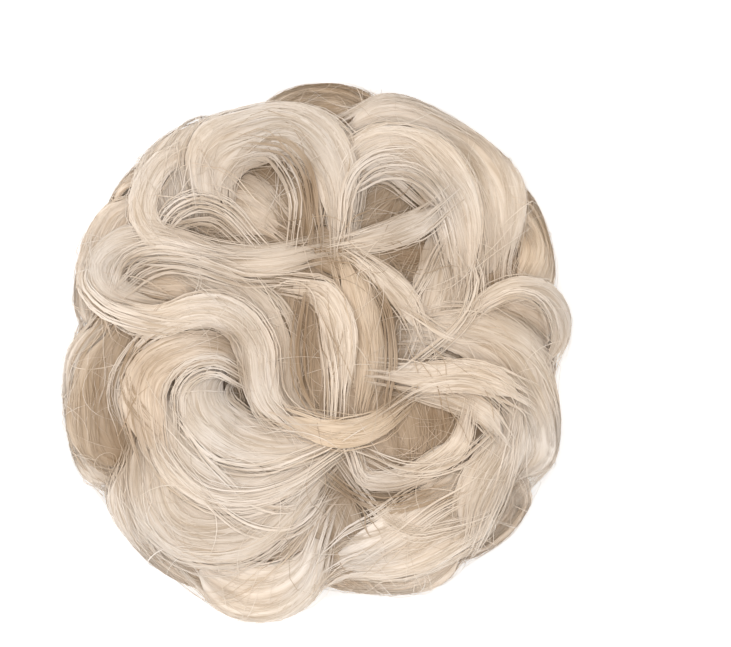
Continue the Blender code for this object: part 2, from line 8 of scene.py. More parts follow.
import bpy
import numpy as np
from bpy.props import FloatProperty, FloatVectorProperty, IntProperty, PointerProperty
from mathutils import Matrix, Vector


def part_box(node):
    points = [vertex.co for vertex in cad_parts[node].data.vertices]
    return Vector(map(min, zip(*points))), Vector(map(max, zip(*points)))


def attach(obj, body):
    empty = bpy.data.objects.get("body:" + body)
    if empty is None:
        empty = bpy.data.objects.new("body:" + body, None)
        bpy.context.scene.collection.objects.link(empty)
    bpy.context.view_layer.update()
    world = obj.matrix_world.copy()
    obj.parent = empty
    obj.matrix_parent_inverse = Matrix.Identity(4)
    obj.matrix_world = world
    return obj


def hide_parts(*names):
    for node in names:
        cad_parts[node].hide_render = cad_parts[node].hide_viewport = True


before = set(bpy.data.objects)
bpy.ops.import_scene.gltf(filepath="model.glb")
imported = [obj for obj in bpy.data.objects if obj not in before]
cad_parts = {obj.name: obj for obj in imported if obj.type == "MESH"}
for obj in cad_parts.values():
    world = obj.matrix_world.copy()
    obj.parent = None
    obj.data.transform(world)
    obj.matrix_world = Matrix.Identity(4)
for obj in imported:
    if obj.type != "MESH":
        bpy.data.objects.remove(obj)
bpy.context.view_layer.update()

bl_info = {
    "name": "Top knot hairpiece",
    "version": (1, 0, 0),
    "blender": (4, 5, 0),
    "location": "View3D > Sidebar > Top Knot",
    "description": "A curled bun of blonde locks on a hollow base with an elastic ring",
    "category": "Add Mesh",
}

# Sizes of the bun, in metres, as in the part's source.
BUN_WIDTH = 0.150
BUN_LENGTH = 0.157
BUN_HEIGHT = 0.066
RIM_LAYER = 0.0135
CROWN_LAYER = 0.0190
RIM_HEIGHT = 0.0250
UNDERSIDE_INSET = 0.0120
LOCK_GAP = 0.0004
TOP_ROUNDNESS = 2.3
SIDE_ROUNDNESS = 2.2
HOLLOW_RADIUS = 0.0235
HOLLOW_DEPTH = 0.0290
HOLLOW_ROOF = (
    # radius, depth
    (1.00, 0.72),
    (0.82, 0.92),
    (0.45, 1.00),
    (0.001, 1.00),
)
BAND_SECTION_RADIUS = 0.0028
BAND_HEIGHT = 0.0080
BAND_CLEARANCE = 0.0004
GROOVE_EASE = 1.08

# How the locks are laid.
SECTION_SPACING = 0.0082
FINE_STEPS = 6
FIELD_CELL = 0.0007
FIELD_REACH = 1.62
FELT_COLUMNS = 21
FELT_PAST_EDGE = 1.12
CURVE_POINTS = 240
UNROLLED_POINTS = 160
NORMAL_SMOOTHING = 6
ROUTE_STEPS = 24
CLIMB_ALONG = 0.80
CLIMB_ACROSS = 0.90
PRESSED_BY_COVER = 1.0
PAST_RIM = 1.5
SETTLING_ROUNDS = 2
EDGE_UP = 0.40
THINNEST = 0.60
TOP_SMOOTHING = 2
FELT_ACROSS = 0.66
END_WIDTH = 0.35
FLOOR_CLEARANCE = 0.0004
TIGHTEST_BEND = 0.80
SWELL = 0.80
LOWER_END = 0.60
ACROSS = np.array((-1.00, -0.64, 0.00, 0.64, 1.00))
UP = np.array((0.36, 0.86, 1.00, 0.86, 0.36))
REACH_ACROSS = 0.965
REACH_ALONG = 1.015

LOWER_TIER = (
    # name, angle, sweep, ring, sway, half-width, thickness
    ("lower_lock_right", 0, 64, 1.18, 0.04, 13.5, 7),
    ("lower_lock_back_right", 52, 62, 1.20, -0.04, 13, 6),
    ("lower_lock_back", 103, 62, 1.17, 0.05, 13.5, 7),
    ("lower_lock_back_left", 154, 60, 1.20, -0.03, 13, 6),
    ("lower_lock_left", 205, 62, 1.18, 0.04, 13.5, 7),
    ("lower_lock_front_left", 257, 62, 1.20, -0.05, 13, 6),
    ("lower_lock_front", 308, 60, 1.18, 0.04, 13.5, 7),
)

# Locks of the brown tone lie under the others: their darker colour is painted shade.
LOCKS = (
    # name, tone, half-widths at root, middle and tip, thickness, stations along the lock
    ("back_under_lock", "brown", (8, 12, 8), 11,
     ((-21, 87), (-5, 94), (11, 94), (26, 86))),
    ("left_back_rim_curl", "beige", (6, 9, 5), 7.5,
     ((-31, 88), (-48, 85), (-58, 75), (-64, 61))),
    ("left_rim_curl", "beige", (5, 8, 5), 6.5,
     ((-59, 70), (-70, 63), (-78, 52), (-80, 40))),
    ("left_pale_curl", "pale", (5, 8, 6), 6.5,
     ((-80, 45), (-87, 27), (-89, 8))),
    ("right_back_sliver", "beige", (6, 10, 7), 12,
     ((46, 87), (63, 78), (75, 60))),
    ("right_beige_curl", "warm", (6, 10, 8), 6,
     ((66, 58), (81, 50), (87, 36), (86, 16))),
    ("front_right_curl", "beige", (6, 10, 7), 15,
     ((72, -46), (74, -58), (67, -69), (53, -76), (38, -79))),
    ("front_curl", "beige", (7.5, 12, 7), 13.5,
     ((54, -73), (40, -82), (21, -88), (-3, -88))),
    ("front_left_curl", "beige", (8, 10, 8), 16,
     ((-76, -47), (-69, -63), (-59, -76), (-42, -85))),
    ("left_front_rim_lock", "ash", (8, 11, 8), 12.5,
     ((-82, 8), (-87, -8), (-88, -23), (-84, -38), (-74, -52))),
    ("left_under_hair", "brown", (8, 12, 8), 4.5,
     ((-72, 6), (-76, -12), (-76, -30), (-68, -44))),
    ("centre_under_hair", "brown", (8, 12, 8), 4.5,
     ((-5, 22), (-5, 0), (-4, -20), (2, -36))),
    ("right_under_fan", "brown", (6, 15, 10), 4.5,
     ((34, 2), (40, -14), (43, -28), (41, -44))),
    ("front_under_hair", "brown", (8, 13, 9), 4.5,
     ((0, -46), (4, -62), (9, -77), (17, -88))),
    ("back_right_fan", "brown", (5, 15, 12), 4.5,
     ((10, 41), (23, 50), (37, 58))),
    ("right_brown_fan", "brown", (5, 9, 6), 4.5,
     ((14, 33), (32, 35), (48, 34))),
    ("right_fall_lock", "ash", (8, 12, 6), 5,
     ((52, 50), (50, 31), (46, 13), (38, -5))),
    ("right_loop_floor", "beige", (6, 9, 5), 4.5,
     ((60, 13), (75, 14), (87, 9), (92, -3))),
    ("centre_knot_lock", "brown", (5, 9, 6), 4.5,
     ((-14, 41), (3, 37), (19, 30), (30, 20))),
    ("left_loop_floor", "beige", (6, 10, 6), 4.5,
     ((-74, 27), (-58, 27), (-38, 24))),
    ("left_inner_petal", "beige", (8, 13, 8), 4.5,
     ((-58, 49), (-42, 55), (-27, 53), (-14, 44))),
    ("right_ash_lock", "ash", (6, 12, 8), 5.5,
     ((40, 6), (59, 5), (73, -5), (80, -20), (79, -34), (72, -46))),
    ("back_right_outer_lock", "ash", (8, 13, 9), 7.5,
     ((12, 81), (28, 81), (43, 74), (55, 62), (63, 48), (66, 28))),
    ("left_back_arch", "beige", (5, 8, 4), 5.5,
     ((-60, 52), (-71, 46), (-78, 35), (-80, 22), (-75, 12))),
    ("front_left_outer_fan", "beige", (8, 11, 6), 7,
     ((-63, -45), (-57, -70), (-38, -81), (-15, -77), (3, -60))),
    ("front_bottom_loop", "pale", (5, 8.5, 5), 12,
     ((-43, -84), (-30, -91), (-15, -92), (-4, -86), (1, -74))),
    ("left_pale_lock", "pale", (5, 8, 5), 6,
     ((-65, -40), (-65, -57), (-57, -75))),
    ("front_right_diagonal", "pale", (6, 10, 6), 6,
     ((67, -38), (58, -54), (43, -66), (26, -75), (9, -82))),
    ("right_inner_lock", "ash", (4, 6.5, 5), 4.5,
     ((74, -22), (70, -38), (60, -53), (57, -69))),
    ("front_left_middle_fan", "ash", (6, 10, 5), 6,
     ((-58, -27), (-55, -53), (-40, -65), (-17, -62), (4, -45))),
    ("back_left_broad_lock", "ash", (6, 11, 6), 5,
     ((-40, 80), (-50, 69), (-54, 56), (-49, 44))),
    ("back_right_inner_lock", "pale", (5, 8, 5), 6,
     ((11, 44), (11, 60), (20, 71), (33, 72), (46, 63), (53, 47), (56, 26))),
    ("arch_inner_lock", "brown", (5, 7, 5), 5,
     ((-27, 72), (-15, 77), (-6, 68), (-2, 55), (-3, 41))),
    ("front_left_inner_fan", "pale", (5, 9, 4), 5.5,
     ((-52, -17), (-50, -36), (-34, -48), (-13, -47), (6, -37))),
    ("right_loop", "ash", (3.5, 4, 3.5), 5,
     ((58, 12), (70, 21), (85, 20), (93, 8), (90, -6))),
    ("centre_broad_lock", "ash", (5, 9, 5), 5,
     ((-48, 29), (-32, 21), (-20, 8), (-15, -9), (-13, -23), (9, -35))),
    ("right_beige_strand", "warm", (4, 7, 5), 5,
     ((11, 31), (17, 14), (19, -5), (17, -22))),
    ("front_left_core_fan", "ash", (6, 8, 4), 5,
     ((-34, -6), (-41, -17), (-35, -29), (-20, -36), (-6, -37), (9, -34))),
    ("left_swirl", "beige", (4, 6.5, 5), 5.5,
     ((-26, -14), (-30, -4), (-42, 0), (-55, -5), (-63, -16), (-60, -39))),
    ("left_loop", "ash", (5, 5.5, 4), 6,
     ((0, 35), (-18, 32), (-38, 33), (-58, 38), (-73, 36), (-79, 27), (-72, 18), (-57, 15))),
    ("left_white_curl", "pale", (2.5, 4.5, 3), 5,
     ((-44, 75), (-56, 70), (-62, 60), (-63, 49), (-58, 41), (-47, 38), (-36, 34))),
    ("left_long_curl", "pale", (4, 6, 4), 5.5,
     ((-76, 15), (-61, 9), (-44, 12), (-30, 11), (-21, 0), (-19, -17), (-10, -29))),
    ("back_arch", "ash", (7, 9.5, 5), 6,
     ((-39, 53), (-37, 66), (-28, 76), (-12, 82), (2, 76), (8, 61), (9, 44))),
    ("back_cross_strand", "ash", (3, 5, 4), 5,
     ((11, 38), (25, 41), (38, 45), (47, 52))),
    ("centre_cross_lock", "warm", (3.5, 5, 4), 5,
     ((-10, -27), (5, -32), (20, -31), (32, -22))),
    ("right_bright_strand", "pale", (3, 4.5, 4), 5,
     ((16, 33), (26, 25), (33, 17), (38, 8))),
    ("right_lower_strand", "ash", (4, 5, 4), 5,
     ((31, -15), (47, -18), (61, -24), (69, -33))),
    ("right_bright_lock", "pale", (4, 5.5, 6), 5.5,
     ((26, -10), (43, -11), (61, -11), (75, -17))),
    ("centre_bright_lock", "pale", (4, 6, 4), 6,
     ((-8, 22), (2, 20), (8, 10), (10, -3), (9, -18))),
    ("crescent_lock", "pale", (2.5, 4, 3), 5,
     ((57, -25), (53, -36), (42, -45), (28, -50), (18, -49), (14, -40))),
)

WISPS = (
    # piece, tone, half-width, strands, stations from above
    ("pale_wisps", "pale", 1.6, 12, ((47, 38), (42, 27), (36, 17))),
    ("pale_wisps", "pale", 2.0, 14, ((3, 4), (6, -10), (6, -26))),
    ("pale_wisps", "pale", 2.2, 22,
     ((-83, 34), (-86, 26), (-83, 19), (-75, 13), (-60, 8), (-45, 7))),
    ("pale_wisps", "pale", 2.4, 22, ((-50, 9), (-62, 3), (-71, -8), (-73, -20), (-69, -29))),
    ("pale_wisps", "pale", 2.2, 14, ((74, -33), (70, -46), (64, -56), (56, -70))),
    ("pale_wisps", "pale", 2.0, 22, ((-28, 70), (-19, 73), (-11, 66), (-7, 55), (-8, 43))),
    ("pale_wisps", "pale", 1.6, 12, ((-50, -26), (-36, -46), (-16, -60), (6, -56))),
    ("pale_wisps", "pale", 1.8, 12, ((-48, -44), (-30, -66), (-6, -68), (6, -54))),
    ("pale_wisps", "pale", 1.6, 10, ((34, 14), (50, 4), (62, 2))),
    ("pale_wisps", "pale", 1.8, 12, ((10, -44), (22, -60), (40, -70), (58, -64))),
    ("pale_wisps", "pale", 2.2, 16, ((16, 60), (26, 66), (38, 64), (48, 54), (53, 40))),
    ("pale_wisps", "pale", 2.6, 24, ((-58, 41), (-53, 50), (-42, 54), (-31, 50), (-24, 42))),
    ("pale_wisps", "pale", 2.4, 20, ((-74, 24), (-70, 33), (-60, 37), (-48, 35))),
    ("pale_wisps", "pale", 2.4, 22, ((11, 46), (13, 60), (22, 70), (34, 71))),
    ("pale_wisps", "pale", 2.0, 16, ((-52, -30), (-40, -42), (-22, -45), (-4, -40), (10, -33))),
    ("pale_wisps", "pale", 2.2, 18, ((-54, -38), (-44, -52), (-24, -56), (-6, -50), (6, -42))),
    ("pale_wisps", "pale", 2.0, 16, ((60, -52), (48, -60), (34, -70), (20, -80))),
    ("pale_wisps", "pale", 1.8, 14, ((66, 16), (76, 20), (86, 15), (91, 4))),
    ("ash_wisps", "ash", 2.6, 24, ((-60, 40), (-50, 46), (-38, 47), (-29, 40))),
    ("ash_wisps", "ash", 2.6, 24, ((-70, 20), (-60, 29), (-46, 29), (-34, 26))),
    ("ash_wisps", "ash", 1.8, 12, ((30, -22), (44, -14), (60, -14), (70, -22))),
    ("ash_wisps", "ash", 3.0, 30, ((-26, -12), (-33, -7), (-44, -8), (-52, -16), (-52, -28))),
    ("ash_wisps", "ash", 2.4, 20, ((-14, 24), (-26, 24), (-42, 30), (-56, 32))),
    ("ash_wisps", "ash", 2.2, 18, ((56, 34), (60, 20), (52, 6), (40, -4))),
    ("ash_wisps", "ash", 2.4, 20, ((20, -40), (34, -46), (50, -44), (62, -34))),
    # Brown wisps: darker strands in the hollows between locks, as painted shade.
    ("brown_wisps", "brown", 2.4, 26, ((-22, 76), (-10, 74), (-3, 62), (-1, 48))),
    ("brown_wisps", "brown", 1.8, 16, ((-58, 10), (-64, 0), (-67, -12), (-62, -24))),
    ("brown_wisps", "brown", 2.2, 18, ((-4, 18), (-6, 2), (-5, -14), (2, -26))),
    ("brown_wisps", "brown", 2.0, 16, ((22, 22), (27, 10), (28, -4), (26, -18))),
    ("brown_wisps", "brown", 2.0, 16, ((6, -48), (16, -56), (28, -58), (44, -54))),
)

# Painted shade: soft patches where the hair's colour is darkened towards brown, in the hollows and
# under the locks where shade falls.
PAINTED_SHADE = (
    # place from above, reach along x and y, depth of shade
    ("in the swirl", (-31, 2, 9, 6, 0.9), (-27, -10, 4, 10, 1.0)),
    ("left of the swirl", (-64, -6, 7, 12, 0.5), (-72, -36, 10, 16, 0.9), (-78, -18, 8, 8, 0.6)),
    ("under the arch", (-18, 66, 12, 6, 0.8), (-2, 60, 4, 14, 0.9), (-5, 44, 9, 6, 0.7)),
    ("under the arch's left leg", (-42, 44, 14, 4, 0.6), (-70, 33, 8, 4, 0.4)),
    ("in the right inner loop", (30, 52, 14, 12, 0.6), (40, 54, 5, 6, 0.9)),
    ("behind the middle", (37, 34, 12, 7, 0.9), (27, 12, 6, 12, 0.7), (3, 32, 10, 4, 0.5)),
    ("in the middle", (-4, 2, 6, 20, 0.8), (28, -18, 8, 8, 0.7), (47, -28, 10, 6, 0.7)),
    ("at the front", (12, -55, 8, 6, 0.8), (32, -55, 14, 5, 0.7), (60, -60, 12, 8, 0.3)),
    ("inside the right loop", (76, 10, 12, 7, 0.3), (73, -51, 5, 5, 0.5)),
)

SHARE_UNIT = BUN_LENGTH / 2 / REACH_ALONG
BUN_SQUEEZE = (BUN_WIDTH / REACH_ACROSS) / (BUN_LENGTH / REACH_ALONG)
RIM_RADIUS = BUN_LENGTH / 2 - RIM_LAYER
BASE_TOP = BUN_HEIGHT - CROWN_LAYER
UNDERSIDE_RADIUS = RIM_RADIUS - UNDERSIDE_INSET
HUNDREDTH = SHARE_UNIT / 100

# The bun's middle in the frame: the base is turned about it.
BASE_LOW, BASE_HIGH = (np.array(corner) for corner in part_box("hair_base"))
MIDDLE = np.array(((BASE_LOW[0] + BASE_HIGH[0]) / 2, (BASE_LOW[1] + BASE_HIGH[1]) / 2, 0.0))

# The photograph's frame, in pixels, its scale and the bun's middle in it.
FRAME_SIZE = (731, 647)
METRES_A_PIXEL = 0.0002907
BUN_AT = (315, 346)
SHARP_HEIGHT = 0.034       # the height at which the scale above holds


class TopKnotSizes(bpy.types.PropertyGroup):
    strand_radius: FloatProperty(
        name="Strand radius", description="Half the thickness of one strand",
        default=0.00015, min=0.00005, max=0.001, subtype="DISTANCE", unit="LENGTH")
    strand_step: FloatProperty(
        name="Strand step", description="Length of one straight piece of a strand",
        default=0.0040, min=0.001, max=0.01, subtype="DISTANCE", unit="LENGTH")
    strand_share: FloatProperty(
        name="Strands per area", description="Strands for each square millimetre of lock",
        default=0.19, min=0.01, max=0.6)
    tip_reach: FloatProperty(
        name="Tip reach", description="How far strands run on past a lock's ends",
        default=0.0105, min=0.0, max=0.02, subtype="DISTANCE", unit="LENGTH")
    core_depth: FloatProperty(
        name="Core depth", description="How far a lock's core lies under its strands",
        default=0.00026, min=0.0, max=0.002, subtype="DISTANCE", unit="LENGTH")
    flyaways: IntProperty(
        name="Flyaways", description="Loose single hairs over the crown",
        default=200, min=0, max=2000)


def colour_setting(name, description, default):
    return FloatVectorProperty(name=name, description=description, default=default,
                               size=3, min=0.0, max=1.0, subtype="COLOR")


class TopKnotColours(bpy.types.PropertyGroup):
    pale: colour_setting("Pale", "Cream highlights", (0.87, 0.78, 0.69))
    ash: colour_setting("Ash", "Cool ash blonde", (0.81, 0.72, 0.63))
    beige: colour_setting("Beige", "Beige blonde", (0.81, 0.695, 0.58))
    warm: colour_setting("Warm", "Warm blonde", (0.82, 0.69, 0.55))
    # Brown is painted shade: a darker colour for the under-hair and for the locks that lie under
    # others, where shade falls.
    brown: colour_setting("Brown", "Shaded under-hair", (0.60, 0.475, 0.355))
    elastic: colour_setting("Elastic", "Covered elastic ring", (0.30, 0.22, 0.15))


class TopKnotStage(bpy.types.PropertyGroup):
    floor: colour_setting("Floor", "Colour of the floor", (0.92, 0.92, 0.92))
    camera_height: FloatProperty(
        name="Camera height", description="Height of the camera over the floor",
        default=1.8, min=0.5, max=5.0, subtype="DISTANCE", unit="LENGTH")
    world_light: FloatProperty(
        name="Surrounding light", description="Strength of the even light from all round",
        default=0.68, min=0.0, max=5.0)
    key_light: FloatProperty(
        name="Key light", description="Power of the large soft lamp, in watts",
        default=6.0, min=0.0, max=200.0)


def sizes():
    return bpy.context.scene.top_knot_sizes


def colours():
    return bpy.context.scene.top_knot_colours


def stage_settings():
    return bpy.context.scene.top_knot_stage


# The base and the laying of the locks.

def base_curve():
    """The base's outer curve: a quarter superellipse to the rim, then another to the underside."""
    turn = np.linspace(0, math.pi / 2, CURVE_POINTS)
    up_r = RIM_RADIUS * np.sin(turn) ** (2 / TOP_ROUNDNESS)
    up_z = RIM_HEIGHT + (BASE_TOP - RIM_HEIGHT) * np.cos(turn) ** (2 / TOP_ROUNDNESS)
    down_r = UNDERSIDE_RADIUS + UNDERSIDE_INSET * np.cos(turn) ** (2 / SIDE_ROUNDNESS)
    down_z = RIM_HEIGHT - RIM_HEIGHT * np.sin(turn) ** (2 / SIDE_ROUNDNESS)
    return np.concatenate([up_r, down_r[1:]]), np.concatenate([up_z, down_z[1:]])


def smoothed(values, rounds, axis=0):
    """Average each value with its neighbours along an axis: a quarter, a half and a quarter."""
    values = np.moveaxis(values, axis, 0)
    for _ in range(rounds):
        padded = np.concatenate([values[:1], values, values[-1:]])
        values = (padded[:-2] + 2 * values + padded[2:]) / 4
    return np.moveaxis(values, 0, axis)


def unit(vectors):
    return vectors / np.maximum(np.linalg.norm(vectors, axis=-1, keepdims=True), 1e-12)


class Dome:
    """The base's outer surface, unrolled: a point is a distance from the crown and a bearing."""

    def __init__(self):
        radius, height = base_curve()
        reach = np.concatenate([[0], np.cumsum(np.hypot(np.diff(radius), np.diff(height)))])
        self.rim = reach[CURVE_POINTS - 1]
        self.reach = np.linspace(0, reach[-1], UNROLLED_POINTS)
        self.radius = np.interp(self.reach, reach, radius)
        self.height = np.interp(self.reach, reach, height)
        out = np.gradient(self.height, self.reach)
        along = np.gradient(self.radius, self.reach)
        size = np.hypot(out, along)
        self.normal_r = smoothed(-out / size, NORMAL_SMOOTHING)
        self.normal_z = smoothed(along / size, NORMAL_SMOOTHING)
        self.normal_r[0], self.normal_z[0] = 0.0, 1.0

    def place(self, x, y, lift):
        """A point in space: out from the axis and up by the base's curve, then lifted along
        the base's normal."""
        reach = np.hypot(x, y)
        away = np.interp(reach, self.reach, self.radius)
        away = away + lift * np.interp(reach, self.reach, self.normal_r)
        up = np.interp(reach, self.reach, self.height)
        up = up + lift * np.interp(reach, self.reach, self.normal_z)
        bearing = np.arctan2(y, x)
        return np.stack([away * np.cos(bearing), away * np.sin(bearing), up], -1)

    def unroll(self, plan, lift):
        """Plan positions, as seen from above, turned into unrolled points that far below them:
        the reach at which the base's radius plus the lift's outward share comes to the distance."""
        upper = self.reach <= self.rim
        away = np.hypot(plan[:, 0], plan[:, 1])
        seen = self.radius[upper][None] + lift[:, None] * self.normal_r[upper][None]
        seen = np.maximum.accumulate(seen, axis=1)
        below = np.clip((seen <= away[:, None]).sum(axis=1) - 1, 0, seen.shape[1] - 2)
        row = np.arange(len(plan))
        near, far = seen[row, below], seen[row, below + 1]
        share = np.clip((away - near) / np.maximum(far - near, 1e-9), 0, 1)
        reach = self.reach[below] + share * (self.reach[below + 1] - self.reach[below])
        reach = reach + np.maximum(away - seen[:, -1], 0) * PAST_RIM
        return plan * (reach / np.maximum(away, 1e-9))[:, None]


def cubic_through(values, t):
    """A Catmull-Rom cubic through rows of values at steps t, carried straight on past its ends."""
    last = len(values) - 1
    padded = np.concatenate([2 * values[:1] - values[1:2], values, 2 * values[-1:] - values[-2:-1]])
    inside = np.clip(t, 0, last)
    i = np.minimum(inside.astype(int), last - 1)
    shape = t.shape + (1,) * (values.ndim - 1)
    f = (inside - i).reshape(shape)
    a, b, c, d = padded[i], padded[i + 1], padded[i + 2], padded[i + 3]
    curve = 0.5 * (2 * b + (c - a) * f + (2 * a - 5 * b + 4 * c - d) * f ** 2
                   + (3 * b - a - 3 * c + d) * f ** 3)
    past = (t - inside).reshape(shape)
    slope = np.where(past < 0, values[1] - values[0], values[-1] - values[-2])
    return curve + past * slope


def lengths_along(line):
    return np.concatenate([[0], np.cumsum(np.hypot(*np.diff(line, axis=0).T))])


def evenly(line, length, count):
    """Points spread evenly along a line in the plane, given how far along it each corner is."""
    even = np.linspace(0, length[-1], count)
    return np.stack([np.interp(even, length, line[:, k]) for k in (0, 1)], -1)


def smooth_route(stations, spacing):
    """A Catmull-Rom curve through the stations, with evenly spaced points."""
    points = np.array(stations, float)
    steps = np.linspace(0, len(points) - 1, (len(points) - 1) * ROUTE_STEPS + 1)
    curve = cubic_through(points, steps)
    length = lengths_along(curve)
    return evenly(curve, length, max(5, round(length[-1] / spacing) + 1))


def side_directions(route):
    """The unit vector to the left of the route at each point, and the bend's radius there."""
    ahead = np.gradient(route, axis=0)
    size = np.hypot(ahead[:, 0], ahead[:, 1])
    ahead = ahead / size[:, None]
    turn = np.gradient(ahead, axis=0)
    radius = size / np.maximum(np.hypot(turn[:, 0], turn[:, 1]), 1e-6)
    return np.stack([-ahead[:, 1], ahead[:, 0]], -1), radius


def plain_widths(count, root, middle, tip):
    """Half-width along a lock: a straight line from root to tip, plus a swell in the middle."""
    t = np.linspace(0, 1, count)
    return root + (tip - root) * t + (middle - (root + tip) / 2) * np.sin(math.pi * t) ** SWELL


def widths_along(count, root, middle, tip):
    """The plain half-widths, drawn in at the last two sections of each end."""
    width = plain_widths(count, root, middle, tip)
    edge = np.minimum(np.arange(count), np.arange(count)[::-1])
    width[edge == 0] *= END_WIDTH
    width[edge == 1] *= (1 + END_WIDTH * 2) / (1 + END_WIDTH * 2.4)
    return width


class HairField:
    """The height over the base of all the hair that is already laid, on an unrolled grid."""

    def __init__(self, dome):
        self.half = FIELD_REACH * dome.rim
        self.count = int(2 * self.half / FIELD_CELL) + 1
        self.top = np.full((self.count, self.count), LOCK_GAP)

    def cells(self, x, y):
        column = np.clip(((x + self.half) / FIELD_CELL).round().astype(int), 1, self.count - 2)
        row = np.clip(((y + self.half) / FIELD_CELL).round().astype(int), 1, self.count - 2)
        return row, column

    def felt(self, x, y):
        return self.top[self.cells(x, y)]

    def mark(self, x, y, value):
        """A grid that holds the values at the cells they fall in, spread by one cell."""
        layer = np.zeros_like(self.top)
        np.maximum.at(layer, self.cells(x, y), value)
        for axis in (0, 1):
            layer = np.maximum(layer, np.maximum(np.roll(layer, 1, axis), np.roll(layer, -1, axis)))
        return layer


def tent(values, slope, spacing, axis):
    """Each value raised to the highest of all values along the axis, less the slope times how
    far off they are."""
    values = np.moveaxis(values, axis, 0)
    index = np.arange(len(values))
    fall = slope * spacing * np.abs(index[:, None] - index[None, :])
    raised = (values[None] - fall[..., None]).max(axis=1)
    return np.moveaxis(raised, 0, axis)


def on_facets(corners, t, u):
    """Values over the triangles between the sections, at steps t along and u across."""
    i = np.minimum(t.astype(int), len(corners) - 2)
    j = np.clip(np.searchsorted(ACROSS, u, side="right") - 1, 0, len(ACROSS) - 2)
    along = (t - i)[:, None]
    across = ((u - ACROSS[j]) / (ACROSS[j + 1] - ACROSS[j]))[None, :]
    near, far = corners[i], corners[i + 1]
    first = near[:, j] + along * (far[:, j] - near[:, j]) + across * (far[:, j + 1] - far[:, j])
    second = (near[:, j] + across * (near[:, j + 1] - near[:, j])
              + along * (far[:, j + 1] - near[:, j + 1]))
    return np.where(along >= across, first, second)


